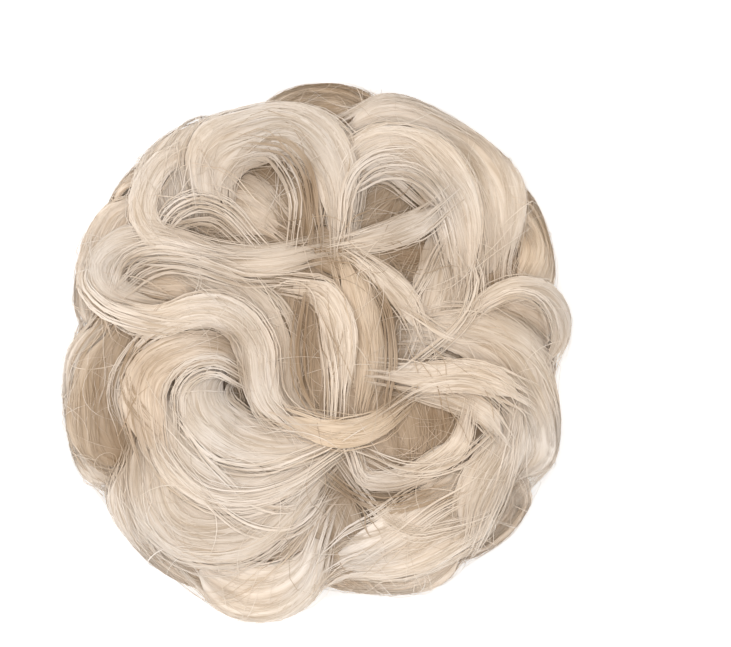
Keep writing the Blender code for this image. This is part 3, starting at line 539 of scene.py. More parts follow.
class Lock:
    """One lock's route and widths on the unrolled base, and its draped sections."""

    def __init__(self, dome, name, tone, widths, thickness, route, seen_from_above):
        self.name = name
        self.tone = tone
        self.thickness = thickness * HUNDREDTH
        self.widths = widths
        self.dome = dome
        self.given = route
        self.seen_from_above = seen_from_above
        self.lie_at(np.full(len(route), RIM_LAYER / 2))

    def lie_at(self, lift):
        """Set the route for a height over the base at each section."""
        self.route = self.dome.unroll(self.given, lift) if self.seen_from_above else self.given
        self.side, bend = side_directions(self.route)
        width = widths_along(len(self.route), *self.widths) * HUNDREDTH
        self.width = np.minimum(width, TIGHTEST_BEND * bend)
        plain = plain_widths(len(self.route), *self.widths) * HUNDREDTH
        self.plain_width = np.minimum(plain, TIGHTEST_BEND * bend)

    def fine_points(self, reach=1.0):
        """Points all over the lock's flat outline, FINE_STEPS to a section, and their grid."""
        steps = (len(self.route) - 1) * FINE_STEPS + 1
        t = np.linspace(0, len(self.route) - 1, steps)
        u = np.linspace(-reach, reach, FELT_COLUMNS)
        left = self.route + self.side * self.width[:, None]
        right = self.route - self.side * self.width[:, None]
        index = np.arange(len(self.route))
        ends = [np.interp(t, index, edge[:, k]) for edge in (left, right) for k in (0, 1)]
        lx, ly, rx, ry = (end[:, None] for end in ends)
        share = (1 + u) / 2
        return rx + (lx - rx) * share, ry + (ly - ry) * share, t, u

    def footprint(self, field):
        x, y, _, _ = self.fine_points()
        return field.mark(x.ravel(), y.ravel(), 1.0)

    def sag(self, x, y, t, u, height):
        """How far flat facets at this height over the base cut below the curve between them."""
        place = self.route[:, None] + self.side[:, None] * (self.width[:, None] * ACROSS)[..., None]
        corners = self.dome.place(place[..., 0], place[..., 1], np.full(place.shape[:2], height))
        flat = np.stack([on_facets(corners[..., k], t, np.clip(u, -1, 1)) for k in range(3)], -1)
        curved = self.dome.place(x, y, np.full(x.shape, height))
        outward = self.dome.place(x, y, np.full(x.shape, height + 1.0)) - curved
        return np.sum((curved - flat) * outward, axis=-1) * (np.abs(u) <= 1.0)

    def drape(self, field, cover):
        """Lay the lock on the field. Its underside is the highest hair felt round each point of
        a section, and its top is that underside made gentler, plus the lock's thickness."""
        x, y, t, u = self.fine_points(FELT_PAST_EDGE)
        felt = field.felt(x, y)
        felt = felt + self.sag(x, y, t, u, felt.mean())
        pressed = cover[field.cells(x, y)]
        near_u = np.abs(u[None, :] - ACROSS[:, None]) <= FELT_ACROSS
        near_t = np.abs(t[None, :] - np.arange(len(self.route))[:, None]) < 1 + 0.5 / FINE_STEPS
        across = np.where(near_u[None], felt[:, None, :], -np.inf).max(axis=2)
        self.under = np.where(near_t[..., None], across[None], -np.inf).max(axis=1)
        weight = near_t[:, :, None, None] & near_u[None, None]
        flat = (weight * pressed[None, :, None, :]).sum(axis=(1, 3)) / weight.sum(axis=(1, 3))
        rest = tent(self.under, CLIMB_ALONG, SECTION_SPACING, 0)
        rest = tent(rest, CLIMB_ACROSS, self.width.mean() * ACROSS[3], 1)
        swell = (self.width / self.width.max()) ** 0.5
        thick = self.thickness * swell[:, None] / (1 + PRESSED_BY_COVER * flat)
        self.over = smoothed(rest + thick * UP, TOP_SMOOTHING)
        self.over = np.maximum(self.over, self.under + thick * UP * THINNEST)
        self.over[:, [0, -1]] = self.under[:, [0, -1]] + thick[:, [0, -1]] * EDGE_UP
        self.seat(felt, t, u)

    def seat(self, felt, t, u):
        """Lower the lock until its underside just clears the hair below at one point."""
        inside = np.abs(u) <= 1.0
        below = self.under.copy()
        below[:, [0, -1]] = self.over[:, [0, -1]]
        plain = on_facets(below, t, u[inside])
        mirrored = on_facets(below[:, ::-1], t, -u[inside][::-1])[:, ::-1]
        room = (np.minimum(plain, mirrored) - felt[:, inside]).min()
        self.under -= room
        self.over -= room

    def raise_field(self, field):
        """Add the lock's top to the field, with the clearance that the next lock keeps."""
        x, y, t, u = self.fine_points()
        whole = on_facets(self.over, t, u) - self.sag(x, y, t, u, self.over.mean())
        layer = field.mark(x.ravel(), y.ravel(), whole.ravel() + LOCK_GAP)
        field.top = np.maximum(field.top, layer)

    def flat_place(self, t, offset):
        """Unrolled points at steps t along the lock and offsets in metres across it."""
        route = cubic_through(self.route, t)
        side = unit(cubic_through(self.side, t))
        return route[..., 0] + side[..., 0] * offset, route[..., 1] + side[..., 1] * offset

    def widths_at(self, widths, t):
        return np.maximum(cubic_through(widths, np.clip(t, 0, len(widths) - 1)), 0.0002)


# The skin of a lock: the surface that its strands lie on.
SKIN_REACH = 1.5           # how far across it is worked out, in plain half-widths
SKIN_COLUMNS = 49
SKIN_STEPS = 7             # rows to a section
SKIN_ENDS = 1.4            # how far past the ends, in sections
SKIN_EDGE = 1.0001         # just past the lock's edge, so that points on the edge count as inside
SKIN_SMOOTHING = 5


def make_skin(lock, field):
    """The lock's skin as a grid of heights. Inside the lock it is the lock's own top, between
    its sections by cubics, and outside it is the hair that the lock lies on. The two are then
    smoothed into each other."""
    last = len(lock.route) - 1
    rows = int((last + 2 * SKIN_ENDS) * SKIN_STEPS) + 1
    t = np.linspace(-SKIN_ENDS, last + SKIN_ENDS, rows)
    u = np.linspace(-SKIN_REACH, SKIN_REACH, SKIN_COLUMNS)
    offset = u[None] * lock.widths_at(lock.plain_width, t)[:, None]
    x, y = lock.flat_place(np.repeat(t[:, None], SKIN_COLUMNS, 1), offset)
    felt = field.felt(x, y)
    over = cubic_through(lock.over, np.clip(t, 0, last))
    own = offset / lock.widths_at(lock.width, t)[:, None]
    j = np.clip(np.searchsorted(ACROSS, own, side="right") - 1, 0, len(ACROSS) - 2)
    share = np.clip((own - ACROSS[j]) / (ACROSS[j + 1] - ACROSS[j]), 0, 1)
    row = np.arange(rows)[:, None]
    top = over[row, j] + share * (over[row, j + 1] - over[row, j])
    inside = (np.abs(own) <= SKIN_EDGE) & (t[:, None] > -0.1) & (t[:, None] < last + 0.1)
    skin = np.where(inside, np.maximum(top, felt), felt)
    skin = tent(skin, 1.3, 2 * SKIN_REACH * lock.plain_width.mean() / SKIN_COLUMNS, 1)
    skin = smoothed(smoothed(skin, SKIN_SMOOTHING), SKIN_SMOOTHING // 2, 1)
    lock.skin, lock.skin_t, lock.skin_u = skin, t, u


def on_skin(lock, t, u):
    """The skin's height at steps t along and u across, between its grid points by shares."""
    row = np.clip((t - lock.skin_t[0]) * SKIN_STEPS, 0, len(lock.skin_t) - 1.001)
    column = (u + SKIN_REACH) / (2 * SKIN_REACH) * (SKIN_COLUMNS - 1)
    column = np.clip(column, 0, SKIN_COLUMNS - 1.001)
    i, j = row.astype(int), column.astype(int)
    f, g = row - i, column - j
    skin = lock.skin
    return ((1 - f) * ((1 - g) * skin[i, j] + g * skin[i, j + 1])
            + f * ((1 - g) * skin[i + 1, j] + g * skin[i + 1, j + 1]))


laid = {}


def lay_the_bun():
    """Lay all the locks once, as the part's source does, and keep their skins."""
    if laid:
        return laid
    dome = Dome()
    locks = []
    for name, angle, sweep, ring, sway, half_width, thickness in LOWER_TIER:
        bearing = np.radians(angle + np.linspace(-0.5, 0.5, ROUTE_STEPS) * sweep)
        wave = ring + sway * np.sin(np.linspace(0, 2 * math.pi, ROUTE_STEPS))
        stations = np.stack([np.cos(bearing), np.sin(bearing)], -1) * wave[:, None]
        route = smooth_route(stations * dome.rim, SECTION_SPACING)
        widths = (half_width * LOWER_END, half_width, half_width * LOWER_END)
        locks.append(Lock(dome, name, "beige", widths, thickness, route, False))
    for name, tone, widths, thickness, stations in LOCKS:
        plan = smooth_route(np.array(stations, float) * HUNDREDTH, SECTION_SPACING)
        locks.append(Lock(dome, name, tone, widths, thickness, plan, True))
    field = HairField(dome)
    prints = [lock.footprint(field) for lock in locks]
    cover = np.sum(prints, axis=0)
    middle_top = None
    for lock, own in zip(locks, prints):
        cover = cover - own
        for _ in range(SETTLING_ROUNDS):
            lock.drape(field, cover)
            lock.lie_at(smoothed((lock.over[:, 2] + lock.under[:, 2]) / 2, 2))
        lock.drape(field, cover)
        make_skin(lock, field)
        lock.raise_field(field)
        if lock.name == "left_inner_petal":
            middle_top = field.top.copy()
    laid.update(dome=dome, locks=locks, field=field, middle_top=middle_top)
    return laid


def in_frame(points):
    """Points of the bun squeezed to its width, kept off the floor and moved to the frame."""
    placed = points * np.array((BUN_SQUEEZE, 1.0, 1.0))
    placed[..., 2] = np.maximum(placed[..., 2], FLOOR_CLEARANCE / 2)
    return placed + MIDDLE


# Meshes from arrays.

UV_NAME = "OFBake"
WHOLE_MAP = (0.01, 0.01, 0.99, 0.99)     # left, low, right and high on the UV map


def mesh_from(name, parts):
    """One mesh of several parts, each with points, faces of one size with a place on the UV map
    for each corner, and normals where the faces' own aren't used."""
    mesh = bpy.data.meshes.new(name)
    points, loops, starts, places = [], [], [], []
    first, corner = 0, 0
    for verts, groups, _ in parts:
        for faces, uv in groups:
            size = faces.shape[1]
            loops.append((faces + first).ravel())
            starts.append(corner + np.arange(len(faces)) * size)
            places.append(uv.reshape(-1, 2))
            corner += faces.size
        points.append(verts)
        first += len(verts)
    points, loops = np.concatenate(points), np.concatenate(loops)
    starts, places = np.concatenate(starts), np.concatenate(places)
    mesh.vertices.add(len(points))
    mesh.vertices.foreach_set("co", points.astype(np.float32).ravel())
    mesh.loops.add(len(loops))
    mesh.loops.foreach_set("vertex_index", loops.astype(np.int32))
    mesh.polygons.add(len(starts))
    mesh.polygons.foreach_set("loop_start", starts.astype(np.int32))
    layer = mesh.uv_layers.new(name=UV_NAME)
    layer.uv.foreach_set("vector", places.astype(np.float32).ravel())
    mesh.polygons.foreach_set("use_smooth", np.ones(len(starts), bool))
    mesh.update(calc_edges=True)
    normals = np.empty(len(points) * 3, np.float32)
    mesh.vertices.foreach_get("normal", normals)
    normals, first = normals.reshape(-1, 3), 0
    for verts, _, given in parts:
        if given is not None:
            normals[first:first + len(verts)] = given
        first += len(verts)
    mesh.normals_split_custom_set_from_vertices(normals.tolist())
    # Each point's painted shade, kept as an attribute by which the hair's material darkens its
    # colour.
    depth = mesh.attributes.new("shaded", "FLOAT", "POINT")
    depth.data.foreach_set("value", painted_shade_at(points).astype(np.float32))
    return mesh


def painted_shade_at(points):
    """Each point's painted shade: how deep in the hair's shade it lies, as soft round patches over
    the places in the table of painted shade, the deepest of them counting."""
    x = (points[:, 0] - MIDDLE[0]) / (HUNDREDTH * BUN_SQUEEZE)
    y = (points[:, 1] - MIDDLE[1]) / HUNDREDTH
    depth = np.zeros(len(points))
    for _, *patches in PAINTED_SHADE:
        for east, north, across, along, most in patches:
            away = ((x - east) / across) ** 2 + ((y - north) / along) ** 2
            depth = np.maximum(depth, most * np.exp(-away))
    return depth


def quad_places(across, up, i, j, row=()):
    """The UV places of a quad's four corners, for the step i along and the side j round."""
    return np.stack([np.stack([across[a], up[(*row, b)]], -1)
                     for a, b in ((i, j), (i + 1, j), (i + 1, j + 1), (i, j + 1))], -2)


def cap_places(tip, edge, up, first, second, shape):
    """The UV places of a pole and the two ring points of each triangle round it."""
    return np.stack([np.stack([np.full(shape, tip), (up[first] + up[second]) / 2], -1),
                     np.stack([np.full(shape, edge), up[first]], -1),
                     np.stack([np.full(shape, edge), up[second]], -1)], -2)


def closed_tube(rings, box):
    """A closed surface through rings of points, with a pole at each end. On the UV map, the way
    along runs across the box and the way round runs up it."""
    count, sides, _ = rings.shape
    middle = rings.mean(axis=1)
    ends = np.stack([middle[0], middle[-1]])
    verts = np.concatenate([rings.reshape(-1, 3), ends])
    i, j = np.meshgrid(np.arange(count - 1), np.arange(sides), indexing="ij")
    k = (j + 1) % sides
    quads = np.stack([i * sides + j, (i + 1) * sides + j, (i + 1) * sides + k, i * sides + k], -1)
    left, low, right, high = box
    across = left + (right - left) * (np.arange(count) + 1) / (count + 1)
    up = low + (high - low) * np.arange(sides + 1) / sides
    quad_uv = quad_places(across, up, i, j)
    j = np.arange(sides)
    k = (j + 1) % sides
    top = count * sides
    start = np.stack([np.full(sides, top), j, k], -1)
    end = np.stack([np.full(sides, top + 1), (count - 1) * sides + k, (count - 1) * sides + j], -1)
    start_uv = cap_places(left, across[0], up, j, j + 1, sides)
    end_uv = cap_places(right, across[-1], up, j + 1, j, sides)
    caps = (np.concatenate([start, end]), np.concatenate([start_uv, end_uv]))
    return verts, [(quads.reshape(-1, 4), quad_uv), caps], None


STRAND_SIDES = 3
STRAND_FLATNESS = 0.4      # a strand's height, as a share of its width
STRAND_ROUNDNESS = 0.40


def strand_tubes(points, outward, radius, box):
    """Many closed strands at once: a flattened three-sided ring about each point of each strand,
    square to the way it runs and with a side on top, and a pole past each end. Its normals lean
    outward by STRAND_ROUNDNESS only, so that light runs over a lock as over combed hair. Each
    strand has a row of its own on the UV map."""
    count, steps, _ = points.shape
    sides = STRAND_SIDES
    ahead = unit(np.gradient(points, axis=1))
    side = unit(np.cross(ahead, outward))
    up = np.cross(side, ahead)
    turn = -math.pi / 2 + 2 * math.pi * np.arange(sides) / sides
    spoke = (np.cos(turn)[:, None] * side[:, :, None]
             + STRAND_FLATNESS * np.sin(turn)[:, None] * up[:, :, None])
    rings = points[:, :, None] + spoke * radius[:, :, None, None]
    first = points[:, 0] - ahead[:, 0] * radius[:, :1] * 2
    last = points[:, -1] + ahead[:, -1] * radius[:, -1:] * 2
    own = steps * sides + 2
    verts = np.concatenate([rings.reshape(count, -1, 3), first[:, None], last[:, None]], 1)
    lean = np.where(np.sin(turn) > 0, STRAND_ROUNDNESS, 0.0) * np.sign(np.cos(turn))
    rise = np.sign(np.sin(turn))[:, None]
    normal = unit(rise * up[:, :, None] + lean[:, None] * side[:, :, None])
    normal = np.concatenate([normal.reshape(count, -1, 3), -ahead[:, :1], ahead[:, -1:]], 1)
    n, i, j = np.meshgrid(np.arange(count), np.arange(steps - 1), np.arange(sides), indexing="ij")
    k = (j + 1) % sides
    base = n * own
    quads = np.stack([base + i * sides + j, base + (i + 1) * sides + j,
                      base + (i + 1) * sides + k, base + i * sides + k], -1)
    left, low, right, high = box
    across = left + (right - left) * (np.arange(steps) + 1) / (steps + 1)
    row = (high - low) / count
    up_at = low + row * (np.arange(count)[:, None] + 0.2 + 0.6 * np.arange(sides + 1) / sides)
    quad_uv = quad_places(across, up_at, i, j, (n,))
    n, j = np.meshgrid(np.arange(count), np.arange(sides), indexing="ij")
    k = (j + 1) % sides
    base = n * own
    end = (steps - 1) * sides
    start_face = np.stack([base + own - 2, base + j, base + k], -1)
    end_face = np.stack([base + own - 1, base + end + k, base + end + j], -1)
    start_uv = cap_places(left, across[0], up_at, (n, j), (n, j + 1), n.shape)
    end_uv = cap_places(right, across[-1], up_at, (n, j + 1), (n, j), n.shape)
    caps = np.concatenate([start_face.reshape(-1, 3), end_face.reshape(-1, 3)])
    caps_uv = np.concatenate([start_uv.reshape(-1, 3, 2), end_uv.reshape(-1, 3, 2)])
    groups = [(quads.reshape(-1, 4), quad_uv), (caps, caps_uv)]
    return verts.reshape(-1, 3), groups, normal.reshape(-1, 3)


# The parts of a lock.

CORE_COLUMN = 0.00050      # spacing of the points across a core's top
CORE_COLUMNS = (15, 51)    # fewest and most of them
CORE_BELOW = 7
CORE_ROW = 0.0026          # spacing of a core's rings
END_SINKS = 1.6            # sections over which a core's ends sink under its strands
END_DEPTH = 0.0022         # how far they sink
CORE_WIDTH = 0.94          # a core's width, as a share of its lock's


def make_clumps(lock, rng):
    """The lock's clumps: waves across it, each with a pitch, a height, a phase and a pace, and
    the drift from side to side that its clumps and strands share."""
    low, high, slope = np.array(CLUMP_WAVES).T
    pitch = low * (high / low) ** rng.random(len(low))
    lock.clumps = np.stack([pitch, pitch * slope / (2 * math.pi), rng.uniform(0, 6.3, len(low)),
                            rng.uniform(0.35, 1.1, len(low))], -1)
    size, pace = np.array(CLUMP_SWAYS).T
    lock.sways = np.stack([size, pace, rng.uniform(0, 6.3, len(size))], -1)


CLUMP_SWAYS = (
    # how far the clumps sway, in half-widths, and how fast along the lock
    (0.09, 0.9),
    (0.05, 2.1),
)
CLUMP_WAVES = (
    # shortest and longest pitch, steepest slope
    (0.0050, 0.0085, 0.42),
    (0.0032, 0.0050, 0.30),
    (0.0022, 0.0032, 0.20),
    (0.0013, 0.0022, 0.14),
)


def sway(lock, t):
    return sum(size * np.sin(pace * t + phase) for size, pace, phase in lock.sways)


def clump_height(lock, t, u):
    """The clumps as soft ridges: sines across the lock that sway and come and go along it, and
    die out towards its edges."""
    width = lock.plain_width.mean()
    height = 0.0
    for pitch, size, phase, pace in lock.clumps:
        wave = np.sin(2 * math.pi * (u - sway(lock, t)) * width / pitch + phase
                      + 0.7 * np.sin(pace * t + 3 * phase))
        height = height + size * wave * (0.65 + 0.35 * np.sin(0.8 * pace * t + 5 * phase))
    return height * np.clip(1 - u ** 2, 0, 1) ** 0.5


def lock_core(lock):
    """The lock's closed core: the skin over the top with the clumps' ridges, lowered a little,
    and the lock's own underside below."""
    last = len(lock.route) - 1
    t = np.linspace(0, last, max(8, int(last * SECTION_SPACING / CORE_ROW)))
    width = lock.widths_at(lock.width, t) * CORE_WIDTH
    plain = lock.widths_at(lock.plain_width, t)
    columns = int(np.clip(2 * width.max() / CORE_COLUMN, *CORE_COLUMNS))
    turn = np.linspace(-math.pi / 2, math.pi / 2, columns)
    u = 0.5 * np.sin(turn) + turn / math.pi
    own = u[None] * width[:, None]
    all_t = np.repeat(t[:, None], columns, 1)
    share = own / plain[:, None]
    near_end = np.clip(1 - np.minimum(t, last - t) / END_SINKS, 0, 1)[:, None] ** 2
    top = on_skin(lock, all_t, share) + clump_height(lock, all_t, share)
    top = top - sizes().core_depth - END_DEPTH * near_end
    across = np.linspace(0.86, -0.86, CORE_BELOW)
    under = cubic_through(lock.under, t)
    j = np.clip(np.searchsorted(ACROSS, across, side="right") - 1, 0, len(ACROSS) - 2)
    share = (across - ACROSS[j]) / (ACROSS[j + 1] - ACROSS[j])
    below = under[:, j] + share * (under[:, j + 1] - under[:, j])
    x, y = lock.flat_place(all_t, own)
    low_x, low_y = lock.flat_place(np.repeat(t[:, None], CORE_BELOW, 1),
                                   across[None] * width[:, None])
    floor = np.interp(across, u, np.arange(columns)).astype(int)
    below = np.minimum(below, top[:, floor] - 0.0004)
    rings = np.concatenate([lock.dome.place(x, y, top), lock.dome.place(low_x, low_y, below)], 1)
    return in_frame(rings)


STRAND_REACH = 1.34        # how far across the strands' homes go, in half-widths
INNER_SHARE = 0.72         # strands whose home is inside the lock's edges
CLUMP_WIDTH = 0.0021
RAGGED = 0.09              # how much of the lock's length the ragged ends take
STRAY_SHARE = 0.14         # strands that cross the lock
STRAY_DRIFT = 0.55         # how far they cross, in half-widths
DIVE = 0.0009              # how far the tips dive into the hair
DIVE_SHARE = 0.06          # over this share of the strand
SWINGS = (
    # waves along the strand, swing in half-widths
    (0.7, 0.06),
    (1.6, 0.035),
    (3.1, 0.018),
)


def spread_strands(lock, count, rng):
    """Paths for the strands of one lock, as steps along, shares across and heights on its skin.
    Each strand keeps its home across the lock, is drawn towards its clump's middle and wanders
    by slow sines. A few cross the lock. Both ends are ragged, and the tips dive."""
    reach = STRAND_REACH
    last = len(lock.route) - 1
    length = last * SECTION_SPACING
    steps = max(8, int(length / sizes().strand_step) + 2)
    s = np.linspace(0, 1, steps)[None]
    past = sizes().tip_reach / SECTION_SPACING
    ragged = RAGGED * last
    start = -0.7 * past + rng.random(count) * (0.7 * past + ragged)
    end = last + past - rng.random(count) * (past + 1.6 * ragged)
    t = start[:, None] + (end - start)[:, None] * s
    home = np.where(rng.random(count) < INNER_SHARE, rng.uniform(-1.0, 1.0, count),
                    rng.uniform(-reach, reach, count))
    home = np.sort(home)
    width = lock.plain_width.mean()
    clumps = max(3, round(2 * width / CLUMP_WIDTH))
    number = np.clip(((home / reach + 1) / 2 * clumps).astype(int), 0, clumps - 1)
    middle = (((number + 0.5) / clumps) * 2 - 1) * reach
    pull = rng.uniform(0.25, 0.7, clumps)[number][:, None]
    swing = np.zeros((count, steps))
    for pitch, size in SWINGS:
        shared = rng.uniform(0, 2 * math.pi, clumps)[number][:, None]
        single = rng.uniform(0, 2 * math.pi, count)[:, None]
        swing += size * np.sin(2 * math.pi * pitch * s + shared)
        swing += size * 0.45 * np.sin(2 * math.pi * pitch * 1.3 * s + single)
    u = home[:, None] + (middle - home)[:, None] * pull * (0.4 + 0.6 * np.abs(2 * s - 1)) + swing
    u = u + sway(lock, t)
    stray = rng.random(count) < STRAY_SHARE
    drift = np.where(stray, rng.normal(0, STRAY_DRIFT, count), 0)[:, None]
    u = u + drift * (s - rng.random(count)[:, None])
    crown = 1 - ((home - middle) / (reach / clumps)) ** 2
    lift = 0.00001 + 0.00004 * np.clip(crown, 0, 1) + 0.00007 * rng.random(count) ** 2
    lift = lift + np.where(stray, rng.uniform(0.0001, 0.0004, count), 0)
    phase = rng.uniform(0, 6, count)[:, None]
    lift = lift[:, None] + 0.00004 * np.sin(2 * math.pi * 2.3 * s + phase)
    lift = lift - DIVE * np.clip(1 - np.minimum(s, 1 - s) / DIVE_SHARE, 0, 1) ** 1.5
    u = np.clip(u, -SKIN_REACH, SKIN_REACH)
    return t, u, lift + clump_height(lock, t, u)


def taper(count, steps, radius, rng):
    """Strand thickness: each strand's own, thinner towards both ends."""
    s = np.linspace(0, 1, steps)[None]
    own = radius * np.exp(rng.normal(0, 0.28, count))[:, None]
    return own * (0.22 + 0.78 * np.minimum(1, np.minimum(s, 1 - s) / 0.26) ** 0.8)


def on_the_bun(dome, x, y, height):
    """Points in the frame at heights over the base, and the outward way at each."""
    points = in_frame(dome.place(x, y, height))
    return points, unit(in_frame(dome.place(x, y, height + 0.002)) - points)


def lock_strands(lock, count, rng):
    """The lock's strands in the frame: points, the outward way at each and the radius."""
    t, u, lift = spread_strands(lock, count, rng)
    offset = u * lock.widths_at(lock.plain_width, t)
    x, y = lock.flat_place(t, offset)
    height = smoothed(on_skin(lock, t, u), 2, 1) + lift
    radius = taper(count, t.shape[1], sizes().strand_radius, rng)
    return *on_the_bun(lock.dome, x, y, height), radius


def veil_strands(lock, count, rng):
    """Strands that follow the lock but lie on the finished bun, over whatever crosses it: they
    drift across as they go, and bridge the dips between locks."""
    last = len(lock.route) - 1
    steps = max(8, int(last * SECTION_SPACING * 0.7 / sizes().strand_step) + 2)
    s = np.linspace(0, 1, steps)[None]
    start = rng.uniform(-0.5, last * 0.45, count)[:, None]
    t = start + rng.uniform(0.35, 0.75, count)[:, None] * last * s
    t = np.minimum(t, last + 0.6)
    home = np.sort(rng.uniform(-1.25, 1.25, count))[:, None]
    u = home + rng.normal(0, 0.5, count)[:, None] * (s - 0.5)
    pace = rng.uniform(0.6, 1.5, count)[:, None]
    u = u + 0.12 * np.sin(2 * math.pi * (s * pace + rng.random(count)[:, None]))
    x, y = lock.flat_place(t, u * lock.widths_at(lock.plain_width, t))
    field = laid["field"]
    felt = tent(smoothed(field.felt(x, y), 1, 1), 0.35, sizes().strand_step, 1)
    arch = np.clip(np.minimum(s, 1 - s) / 0.12, 0, 1)
    lift = 0.0001 + 0.0006 * rng.random(count)[:, None] ** 2
    height = smoothed(felt, 2, 1) + lift * arch - 0.0005
    height = np.maximum(height, field.felt(x, y) - 0.0004)
    radius = taper(count, steps, sizes().strand_radius * 0.85, rng)
    return *on_the_bun(lock.dome, x, y, height), radius


def dress_lock(lock, rng, density, most):
    """One lock as one piece: its core and its strands."""
    make_clumps(lock, rng)
    length = (len(lock.route) - 1) * SECTION_SPACING
    area = length * 2 * lock.plain_width.mean() * 1e6
    count = int(np.clip(area * sizes().strand_share * density, 40, most))
    core = closed_tube(lock_core(lock), (0.01, 0.52, 0.99, 0.99))
    strands = strand_tubes(*lock_strands(lock, count, rng), (0.01, 0.06, 0.99, 0.50))
    veil = strand_tubes(*veil_strands(lock, max(6, count // 8), rng), (0.01, 0.01, 0.99, 0.05))
    piece = add_hair(lock.name + "_strands", [core, strands, veil], lock.tone)
    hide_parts(lock.name)
    return piece


def add_hair(name, parts, tone):
    """A piece of hair of one tone, in the finish of that tone."""
    return add_piece(name, mesh_from(name, parts), hair_material(tone))


def add_piece(name, mesh, material):
    mesh.materials.append(material)
    piece = bpy.data.objects.new(name, mesh)
    bpy.context.scene.collection.objects.link(piece)
    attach(piece, "root")
    return piece


# The under-hair and the elastic.

BASE_RINGS = 84
BASE_SEGMENTS = 216
UNDER_STRANDS = 260
COMB_DEPTH = 0.00012       # how deep the combed grooves are
COMB_WAVES = (
    # waves round the base, their twist on the way down, share of the depth
    (46, 22, 1.0),
    (71, -15, 0.7),
)
SQUEEZED_FROM = 1.2        # hollow radii past which the base is squeezed to the bun's width


def base_profile():
    """The base's outline from the crown round the rim, over the underside and into the hollow."""
    radius, height = base_curve()
    groove_radius = (BAND_SECTION_RADIUS + BAND_CLEARANCE) * GROOVE_EASE
    turn = np.linspace(-math.pi / 2, math.pi / 2, 9)
    groove = np.stack([HOLLOW_RADIUS + groove_radius * np.cos(turn),
                       BAND_HEIGHT + groove_radius * np.sin(turn)], -1)
    roof = np.array(HOLLOW_ROOF) * (HOLLOW_RADIUS, HOLLOW_DEPTH)
    inner = np.concatenate([[(HOLLOW_RADIUS, 0.0)], groove, roof])
    line = np.concatenate([np.stack([radius, height], -1)[2:], inner])
    return evenly(line, lengths_along(line), BASE_RINGS)


def base_surface():
    """The profile turned round the Z axis. The part outside the hollow is squeezed to the bun's
    width. Shallow grooves, made of sines of the bearing that twist with the way down, stand for
    the combed hair."""
    profile = base_profile()
    bearing = np.linspace(0, 2 * math.pi, BASE_SEGMENTS, endpoint=False)
    radius, height = profile[:, :1], profile[:, 1:]
    way = np.linspace(0, 1, BASE_RINGS)[:, None]
    comb = sum(share * np.sin(waves * bearing + twist * way) for waves, twist, share in COMB_WAVES)
    comb = comb * COMB_DEPTH * np.clip(radius / 0.02, 0, 1)
    away = radius - np.abs(comb) * np.where(height > 1e-4, 1.0, 0.0)
    squeeze = np.where(radius > HOLLOW_RADIUS * SQUEEZED_FROM, BUN_SQUEEZE, 1.0)
    rings = np.stack([away * squeeze * np.cos(bearing), away * np.sin(bearing),
                      np.maximum(height, 0.0) + 0 * bearing], -1)
    return rings + MIDDLE


def free_strands(start, bearing, bend, length, steps):
    """Flat arcs on the unrolled base: each turns steadily as it goes."""
    s = np.linspace(-0.5, 0.5, steps)[None]
    way = bearing[:, None] + bend[:, None] * s
    x = np.cumsum(np.cos(way), axis=1) * (length / steps)[:, None]
    y = np.cumsum(np.sin(way), axis=1) * (length / steps)[:, None]
    x = x - x.mean(axis=1, keepdims=True) + start[:, :1]
    y = y - y.mean(axis=1, keepdims=True) + start[:, 1:]
    return x, y


def laid_strands(dome, top, start, bearing, bend, length, lift, radius, rng, steps=16):
    """Free strands laid on hair of the given heights."""
    x, y = free_strands(start, bearing, bend, length, steps)
    field = laid["field"]
    felt = top[field.cells(x, y)]
    for _ in range(2):
        felt = np.maximum(felt, smoothed(felt, 3, 1))
    height = smoothed(felt, 3, 1) + lift
    return *on_the_bun(dome, x, y, height), taper(len(start), steps, radius, rng)


def disc_points(count, reach, rng):
    """Points spread evenly over a disc."""
    away = reach * np.sqrt(rng.random(count))
    bearing = rng.uniform(0, 2 * math.pi, count)
    return np.stack([away * np.cos(bearing), away * np.sin(bearing)], -1)


BAND_RINGS = 480
BAND_SIDES = 18
BAND_RIBS = 72
BAND_RIB_HEIGHT = 0.00011


def elastic_surface():
    """A ring of round section, with slanting ribs: the section's radius swells with a sine of
    the bearing and the turn together."""
    bearing = np.linspace(0, 2 * math.pi, BAND_RINGS, endpoint=False)[:, None]
    turn = np.linspace(0, 2 * math.pi, BAND_SIDES, endpoint=False)[None]
    radius = (BAND_SECTION_RADIUS - 0.00012
              + BAND_RIB_HEIGHT * np.cos(BAND_RIBS * bearing + 3 * turn))
    away = HOLLOW_RADIUS + radius * np.cos(turn)
    rings = np.stack([away * np.cos(bearing), away * np.sin(bearing),
                      BAND_HEIGHT + radius * np.sin(turn) + 0 * bearing], -1)
    return rings + MIDDLE


def ring_mesh(name, rings):
    """A surface closed both ways, as a ring."""
    count, sides, _ = rings.shape
    i, j = np.meshgrid(np.arange(count), np.arange(sides), indexing="ij")
    m, k = (i + 1) % count, (j + 1) % sides
    quads = np.stack([i * sides + j, m * sides + j, m * sides + k, i * sides + k], -1)
    across = 0.01 + 0.98 * np.arange(count + 1) / count
    up = 0.01 + 0.98 * np.arange(sides + 1) / sides
    uv = quad_places(across, up, i, j)
    return mesh_from(name, [(rings.reshape(-1, 3), [(quads.reshape(-1, 4), uv)], None)])


# Materials.

def node(tree, kind, place, **values):
    made = tree.nodes.new(kind)
    made.location = place
    for name, value in values.items():
        setattr(made, name, value)
    return made


